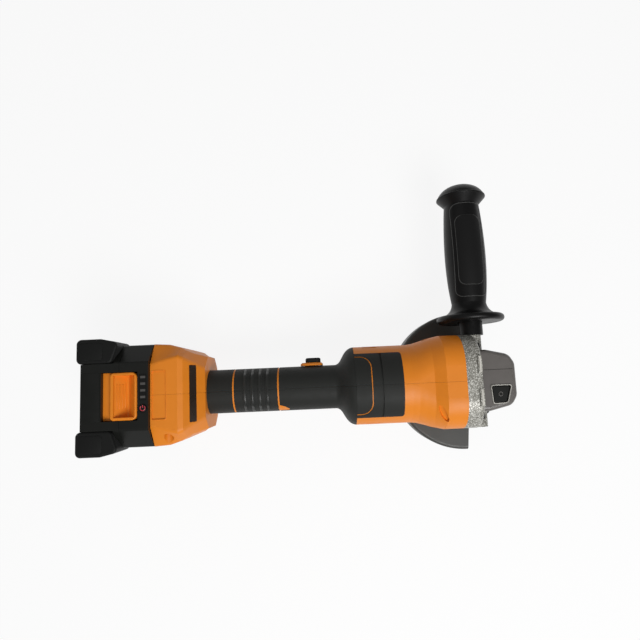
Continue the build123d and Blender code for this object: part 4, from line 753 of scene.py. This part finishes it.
@dataclass
class Housing(SubAssembly):
    """Body shells, overmoulds and what they hold."""

    rib_x: tuple[float, ...] = (-198.4, -192.1, -185.8, -179.5)
    crest_half: float = 17.0
    crest_r: float = 1.4
    crest_rise: float = 0.25
    crest_steps: int = 40
    seam_step: float = 0.2  # keeps the measured points off the seam
    panel_x: tuple[float, float] = (-267.0, -255.8)
    panel_half: float = 19.0
    panel_corner: float = 1.4
    rim_r: float = 0.3

    finishes: dict[str, Finish] = field(
        default_factory=lambda: {
            "body_shell_left": ORANGE_NYLON,
            "body_shell_right": ORANGE_NYLON,
            "grip_skin_left": SOFT_TPE,
            "grip_skin_right": SOFT_TPE,
            "saddle_pad_left": SOFT_TPE,
            "saddle_pad_right": SOFT_TPE,
            "shell_screws": BLACK_OXIDE,
            "status_strip": DARK_FILM,
            "terminal_block": BLACK_NYLON,
            "terminal_blades": PLATED_STRIP,
            "controller_tray": SPARKLE_CAST,
            "controller_board": GREEN_BOARD,
            "switch_block": BLACK_NYLON,
        }
    )

    def build(self) -> None:
        """Makes the rim of the recess on the dock and the rounded crests of the grip's ribs."""
        x0, x1 = self.panel_x
        half = self.panel_half
        outline = rounded(rectangle(x0, x1, -half, half), self.panel_corner)
        shells = ("body_shell_left", "body_shell_right")
        path = [spot(x, y, surface_z(shells, x, y)) for x, y in outline]
        rim = bead("panel_rim", path, self.rim_r)
        settle(rim, "housing", ORANGE_NYLON)
        skins = ("grip_skin_left", "grip_skin_right")
        steps = spread(self.crest_half, self.crest_steps)
        for number, x in enumerate(self.rib_x, start=1):
            heights = [surface_z(skins, x, y + self.seam_step) for y in steps]
            path = [spot(x, y, z + self.crest_rise - self.crest_r) for y, z in zip(steps, heights)]
            crest = bead(f"grip_rib_{number}", path, self.crest_r, closed=False)
            settle(crest, "housing", RUBBED_TPE)


@dataclass
class Motor(SubAssembly):
    """Stator, rotor, fan and their bearings."""

    finishes: dict[str, Finish] = field(
        default_factory=lambda: {
            "stator_core": LAMINATIONS,
            "stator_coils": COPPER_WIRE,
            "sensor_board": GREEN_BOARD,
            "motor_bearing_outers": SHAFT_STEEL,
            "motor_bearing_inners": SHAFT_STEEL,
            "rotor_shaft": SHAFT_STEEL,
            "rotor_core": LAMINATIONS,
            "rotor_magnets": MAGNET,
            "fan": FAN_NYLON,
            "pinion": CUT_GEAR,
        }
    )


@dataclass
class GearHead(SubAssembly):
    """Gear case, nose cover, bearing plate and spindle."""

    tab_x: float = -6.9
    tab_y: tuple[float, float] = (13.1, -13.1)
    tab_half: float = 6.4
    tab_r: float = 0.9
    tab_sink: float = 0.35  # share of the crest's radius under the tab's surface
    tab_steps: int = 12

    finishes: dict[str, Finish] = field(
        default_factory=lambda: {
            "gear_case": SPARKLE_CAST,
            "nose_cover": COVER_ABS,
            "gear_case_screws": BLACK_OXIDE,
            "bearing_plate": SPARKLE_CAST,
            "bearing_plate_screws": BLACK_OXIDE,
            "spindle_bearing_outer": TURNED_STEEL,
            "spindle_bearing_inner": TURNED_STEEL,
            "spindle_bush": TURNED_STEEL,
            "spindle_seal": FELT,
            "spindle": THREADED_STEEL,
            "ring_gear": CUT_GEAR,
            "inner_flange": TURNED_STEEL,
            "lock_nut": TURNED_STEEL,
        }
    )

    def build(self) -> None:
        """Makes the pale crests of the two tabs on the flange, a painted highlight."""
        sink = self.tab_sink * self.tab_r
        for number, middle in enumerate(self.tab_y, start=1):
            steps = [middle + step for step in spread(self.tab_half, self.tab_steps)]
            tops = [surface_z(("gear_case",), self.tab_x, y) for y in steps]
            path = [spot(self.tab_x, y, z - sink) for y, z in zip(steps, tops)]
            crest = bead(f"flange_tab_{number}", path, self.tab_r, closed=False)
            # Pale as a painted highlight on the crest.
            settle(crest, "housing", PAINTED_HIGHLIGHT_CAST)


@dataclass
class SpindleLock(SubAssembly):
    """Lock button with its pin and spring, and the pale line around it, a painted highlight on the
    rim's worn edge.
    """

    bezel_corners: tuple[tuple[float, float], ...] = (
        (4.6, -4.2), (21.6, -4.4), (17.4, -18.8), (5.5, -19.2),
    )
    bezel_round: float = 2.4
    bezel_z: float = 26.5
    bezel_r: float = 0.4
    mark_place: tuple[float, float, float] = (12.2, -11.6, 25.8)
    mark_r: float = 1.6
    mark_line_r: float = 0.25
    mark_steps: int = 20
    spring_wire: float = 0.22
    spring_turns: int = 3
    spring_travel: float = 4.0

    finishes: dict[str, Finish] = field(
        default_factory=lambda: {
            "lock_button": BLACK_NYLON,
            "lock_pin": SHAFT_STEEL,
        }
    )

    def build(self) -> None:
        """Makes the pale line on the nose (a painted highlight on the rim's worn edge), the round
        mark on the button and the spring.
        """
        outline = rounded(list(self.bezel_corners), self.bezel_round)
        line = bead("lock_bezel", [spot(x, y, self.bezel_z) for x, y in outline], self.bezel_r)
        # Pale as a painted highlight on the rim's worn edge.
        settle(line, "housing", PAINTED_HIGHLIGHT_LINE)
        x, y, z = self.mark_place
        turns = [2 * math.pi * i / self.mark_steps for i in range(self.mark_steps)]
        r = self.mark_r
        ring = [spot(x + r * math.cos(a), y + r * math.sin(a), z) for a in turns]
        mark = bead("lock_mark", ring, self.mark_line_r)
        settle(mark, "spindle_lock", COVER_ABS)
        coil_spring(
            "lock_spring",
            axis=2,
            wire_mm=self.spring_wire,
            turns=self.spring_turns,
            body="housing",
        )


@dataclass
class Guard(SubAssembly):
    """Wheel guard with its clamp."""

    finishes: dict[str, Finish] = field(
        default_factory=lambda: {
            "guard_hood": POWDER_COAT,
            "guard_band": POWDER_COAT,
            "guard_clamp_screw": BLACK_OXIDE,
            "guard_clamp_nut": BLACK_OXIDE,
        }
    )


@dataclass
class SideHandle(SubAssembly):
    """Side handle with its inlaid pads and stud."""

    axis_x: float = -1.0
    inner_half: float = 10.5
    inner_y: tuple[float, float] = (82.0, 143.5)
    outer_half: float = 13.2
    outer_y: tuple[float, float] = (72.0, 155.0)
    line_corner: float = 7.0
    line_pitch: float = 3.0  # between the points that follow the surface
    line_r: float = 0.3

    finishes: dict[str, Finish] = field(
        default_factory=lambda: {
            "handle_grip": HANDLE_NYLON,
            "handle_pads": HANDLE_TPE,
            "handle_stud": STUD_STEEL,
        }
    )

    def build(self) -> None:
        """Makes the two raised lines around the upper pad, lighter grey as a painted highlight."""
        for name, half, (near, far) in (
            ("handle_inner_line", self.inner_half, self.inner_y),
            ("handle_outer_line", self.outer_half, self.outer_y),
        ):
            left, right = self.axis_x - half, self.axis_x + half
            outline = rounded(rectangle(left, right, near, far), self.line_corner)
            path = []
            for (x0, y0), (x1, y1) in zip(outline, outline[1:] + outline[:1]):
                count = max(1, round(math.hypot(x1 - x0, y1 - y0) / self.line_pitch))
                for k in range(count):
                    x, y = x0 + (x1 - x0) * k / count, y0 + (y1 - y0) * k / count
                    path.append(spot(x, y, surface_z(("handle_grip", "handle_pads"), x, y)))
            # The lines are lighter grey than the handle: a painted highlight.
            settle(bead(name, path, self.line_r), "side_handle", PAINTED_HIGHLIGHT_BEAD)


@dataclass
class Switch(SubAssembly):
    """Slide switch on the left of the grip."""

    finishes: dict[str, Finish] = field(
        default_factory=lambda: {"switch_slider": ORANGE_NYLON, "switch_pad": HARD_RUBBER}
    )


@dataclass
class BatteryPack(SubAssembly):
    """Battery case, bumpers, cells, gauge and latch."""

    top_z: float = 50.0
    scoop_top: tuple[float, float] = (-294.8, 49.0)  # x, z of the scoop's slope
    scoop_foot: tuple[float, float] = (-287.4, 42.0)
    rib_shares: tuple[float, ...] = (0.2, 0.42, 0.64, 0.86)  # places down the slope
    rib_size: tuple[float, float, float] = (1.0, 19.0, 0.9)
    rib_edge: float = 0.3
    spring_wire: float = 0.35
    spring_turns: int = 6
    spring_travel: float = 4.5
    button_place: tuple[float, float, float] = (-272.5, -9.5, 50.5)
    mark_line_r: float = 0.32
    ring_r: float = 1.9
    ring_open_deg: float = 40.0  # left open to each side of the bar
    ring_steps: int = 24
    bar_start: float = 0.3
    bar_step: float = 0.7
    bar_points: int = 4
    panel_x: tuple[float, float] = (-320.4, -306.2)
    panel_half: float = 18.9
    panel_round: float = 1.0
    panel_rise: float = 0.3
    pad_x: tuple[float, float] = (-322.0, -304.0)
    pad_y: tuple[float, float] = (29.0, 42.4)
    pad_round: float = 2.6
    pad_rise: float = 0.4

    finishes: dict[str, Finish] = field(
        default_factory=lambda: {
            "battery_tray": BLACK_NYLON,
            "battery_cover": BLACK_NYLON,
            "battery_cells": CELL_WRAP,
            "cell_strips": PLATED_STRIP,
            "battery_board": GREEN_BOARD,
            "battery_screws": BLACK_OXIDE,
            "corner_bumpers": HARD_RUBBER,
            "gauge_window": SMOKED_WINDOW,
            "gauge_lights": GAUGE_LENS,
            "gauge_button": BLACK_NYLON,
            "battery_latch": ORANGE_NYLON,
        }
    )

    def build(self) -> None:
        """Makes the latch's ribs and spring, the button's mark and the fields on the case."""
        self._latch_ribs()
        self._power_mark()
        coil_spring(
            "latch_spring",
            axis=0,
            wire_mm=self.spring_wire,
            turns=self.spring_turns,
            body="battery",
        )
        self._raised_fields()

    def _raised_fields(self) -> None:
        """Makes the shallow fields on the tray and on both upper bumpers."""
        corners = rectangle(*self.panel_x, -self.panel_half, self.panel_half)
        panel = plate("tray_panel", corners, self.panel_round, self.top_z, self.panel_rise)
        settle(panel, "battery", BLACK_NYLON)
        for side, name in ((1, "bumper_pad_left"), (-1, "bumper_pad_right")):
            corners = rectangle(*self.pad_x, *sorted((side * self.pad_y[0], side * self.pad_y[1])))
            pad = plate(name, corners, self.pad_round, self.top_z, self.pad_rise)
            settle(pad, "battery", HARD_RUBBER)

    def _latch_ribs(self) -> None:
        """Makes the finger ribs on the slope of the latch's scoop."""
        (x0, z0), (x1, z1) = self.scoop_top, self.scoop_foot
        rib = start_piece("latch_ribs", bpy.ops.mesh.primitive_cube_add, size=1.0)
        with editing(rib):
            bpy.ops.mesh.select_all(action="SELECT")
            bpy.ops.transform.resize(value=[size * MM for size in self.rib_size])
            pick_edges(rib, is_sharp)
            bpy.ops.mesh.bevel(offset=self.rib_edge * MM, segments=BEVEL_STEPS, affect="EDGES")
        turn = Matrix.Rotation(math.atan2(z0 - z1, x1 - x0), 4, "Y")
        places = [spot(x0 + s * (x1 - x0), 0, z0 + s * (z1 - z0)) for s in self.rib_shares]
        rib.data.transform(Matrix.Translation(places[0]) @ turn)
        ribs = copies(rib, [place - places[0] for place in places[1:]])
        settle(ribs, "latch", ORANGE_NYLON)

    def _power_mark(self) -> None:
        """Makes the printed ring and bar on the gauge button."""
        x, y, z = self.button_place
        start, count, r = self.ring_open_deg, self.ring_steps, self.ring_r
        sweep = 360 - 2 * start
        turns = [math.radians(start + sweep * i / count) for i in range(count + 1)]
        path = [spot(x - r * math.sin(a), y + r * math.cos(a), z) for a in turns]
        ring = bead("power_ring", path, self.mark_line_r, closed=False)
        settle(ring, "gauge_key", RED_INK)
        steps = [self.bar_start + self.bar_step * i for i in range(self.bar_points)]
        path = [spot(x, y + step, z) for step in steps]
        bar = bead("power_bar", path, self.mark_line_r, closed=False)
        settle(bar, "gauge_key", RED_INK)


# Studio
@dataclass(frozen=True)
class Lamp:
    """A soft square lamp that faces the middle of the tool, in metres and watts."""

    name: str
    place: tuple[float, float, float]
    size: float
    power: float

    def hang(self) -> None:
        """Adds the lamp to the scene."""
        data = bpy.data.lights.new(self.name, "AREA")
        data.size = self.size
        data.energy = self.power
        lamp = bpy.data.objects.new(self.name, data)
        lamp.location = self.place
        middle = (CAD_BOX[0] + CAD_BOX[1]) / 2
        lamp.rotation_mode = "QUATERNION"
        lamp.rotation_quaternion = (middle - Vector(self.place)).to_track_quat("-Z", "Y")
        bpy.context.scene.collection.objects.link(lamp)


@dataclass
class Studio:
    """Floor, lights and the camera."""

    lamps: tuple[Lamp, ...] = (
        Lamp("key", (0.15, -0.6, 1.0), 0.6, 10.0),
        Lamp("fill", (-0.6, 0.6, 1.2), 1.2, 1.0),
    )
    light: str = "FFFFFF"  # of the sky and of the floor itself
    sky_strength: float = 0.25
    floor_m: float = 6.0
    paper: str = "F4F4F4"
    paper_roughness: float = 0.9
    paper_glow: float = 0.88  # share of the floor's own light where it is seen
    camera_mm: tuple[float, float, float] = (-133.03, 4.92, 440.0)  # from spindle and motor axis
    tilt_deg: float = 7.0
    roll_deg: float = 2.51
    lens_mm: float = 28.125
    sensor_mm: float = 36.0

    def build(self) -> None:
        """Sets up the whole studio."""
        scene = bpy.context.scene
        scene.view_settings.view_transform = "Standard"
        self._floor()
        self._world(scene)
        for lamp in self.lamps:
            lamp.hang()
        scene.camera = self._camera()

    def _floor(self) -> None:
        """Makes a white floor that keeps the shadow."""
        floor = start_piece("floor", bpy.ops.mesh.primitive_plane_add, size=self.floor_m)
        floor.data.transform(Matrix.Translation((0, 0, CAD_BOX[0].z - FLOOR_GAP * MM)))
        material = bpy.data.materials.new("white_paper")
        material.use_nodes = True
        tree = material.node_tree
        paper = tree.nodes["Principled BSDF"]
        paper.inputs["Base Color"].default_value = linear(self.paper)
        paper.inputs["Roughness"].default_value = self.paper_roughness
        glow = add_node(tree, "ShaderNodeEmission", inputs={"Color": linear(self.light)})
        path = add_node(tree, "ShaderNodeLightPath")
        rays = path.outputs["Is Camera Ray"]
        for other in ("Is Glossy Ray", "Is Transmission Ray"):
            rays = add_node(
                tree,
                "ShaderNodeMath",
                settings={"operation": "MAXIMUM"},
                links={0: rays, 1: path.outputs[other]},
            ).outputs[0]
        seen = add_node(
            tree,
            "ShaderNodeMath",
            settings={"operation": "MULTIPLY"},
            inputs={1: self.paper_glow},
            links={0: rays},
        )
        mix = add_node(
            tree,
            "ShaderNodeMixShader",
            links={0: seen.outputs[0], 1: paper.outputs["BSDF"], 2: glow.outputs["Emission"]},
        )
        tree.links.new(mix.outputs["Shader"], tree.nodes["Material Output"].inputs["Surface"])
        floor.data.materials.append(material)

    def _world(self, scene: bpy.types.Scene) -> None:
        """Sets soft light from all sides.

        Args:
            scene: the scene to light.
        """
        world = bpy.data.worlds.new("studio")
        world.use_nodes = True
        sky = world.node_tree.nodes["Background"]
        sky.inputs["Color"].default_value = linear(self.light)
        sky.inputs["Strength"].default_value = self.sky_strength
        scene.world = world

    def _camera(self) -> bpy.types.Object:
        """Makes the camera above the tool.

        Returns:
            The camera.
        """
        data = bpy.data.cameras.new("camera")
        data.lens = self.lens_mm
        data.sensor_width = self.sensor_mm
        camera = bpy.data.objects.new("camera", data)
        tilt, roll = math.radians(self.tilt_deg), math.radians(self.roll_deg)
        ahead = Vector((0, math.sin(tilt), -math.cos(tilt)))
        up = Vector((0, math.cos(tilt), math.sin(tilt)))
        right = Vector((1, 0, 0))
        rolled_right = right * math.cos(roll) - up * math.sin(roll)
        rolled_up = up * math.cos(roll) + right * math.sin(roll)
        turn = Matrix((rolled_right, rolled_up, -ahead)).transposed()
        camera.matrix_world = Matrix.Translation(spot(*self.camera_mm)) @ turn.to_4x4()
        bpy.context.scene.collection.objects.link(camera)
        return camera


def main() -> None:
    """Builds and dresses every sub-assembly, then the studio."""
    logging.basicConfig(level=logging.INFO, format="%(name)s: %(message)s")
    parts = (
        Housing(), Motor(), GearHead(), SpindleLock(), Guard(), SideHandle(), Switch(),
        BatteryPack(),
    )
    for part in parts:
        part.build()
        part.dress()
    Studio().build()


if __name__ == "__main__":
    main()
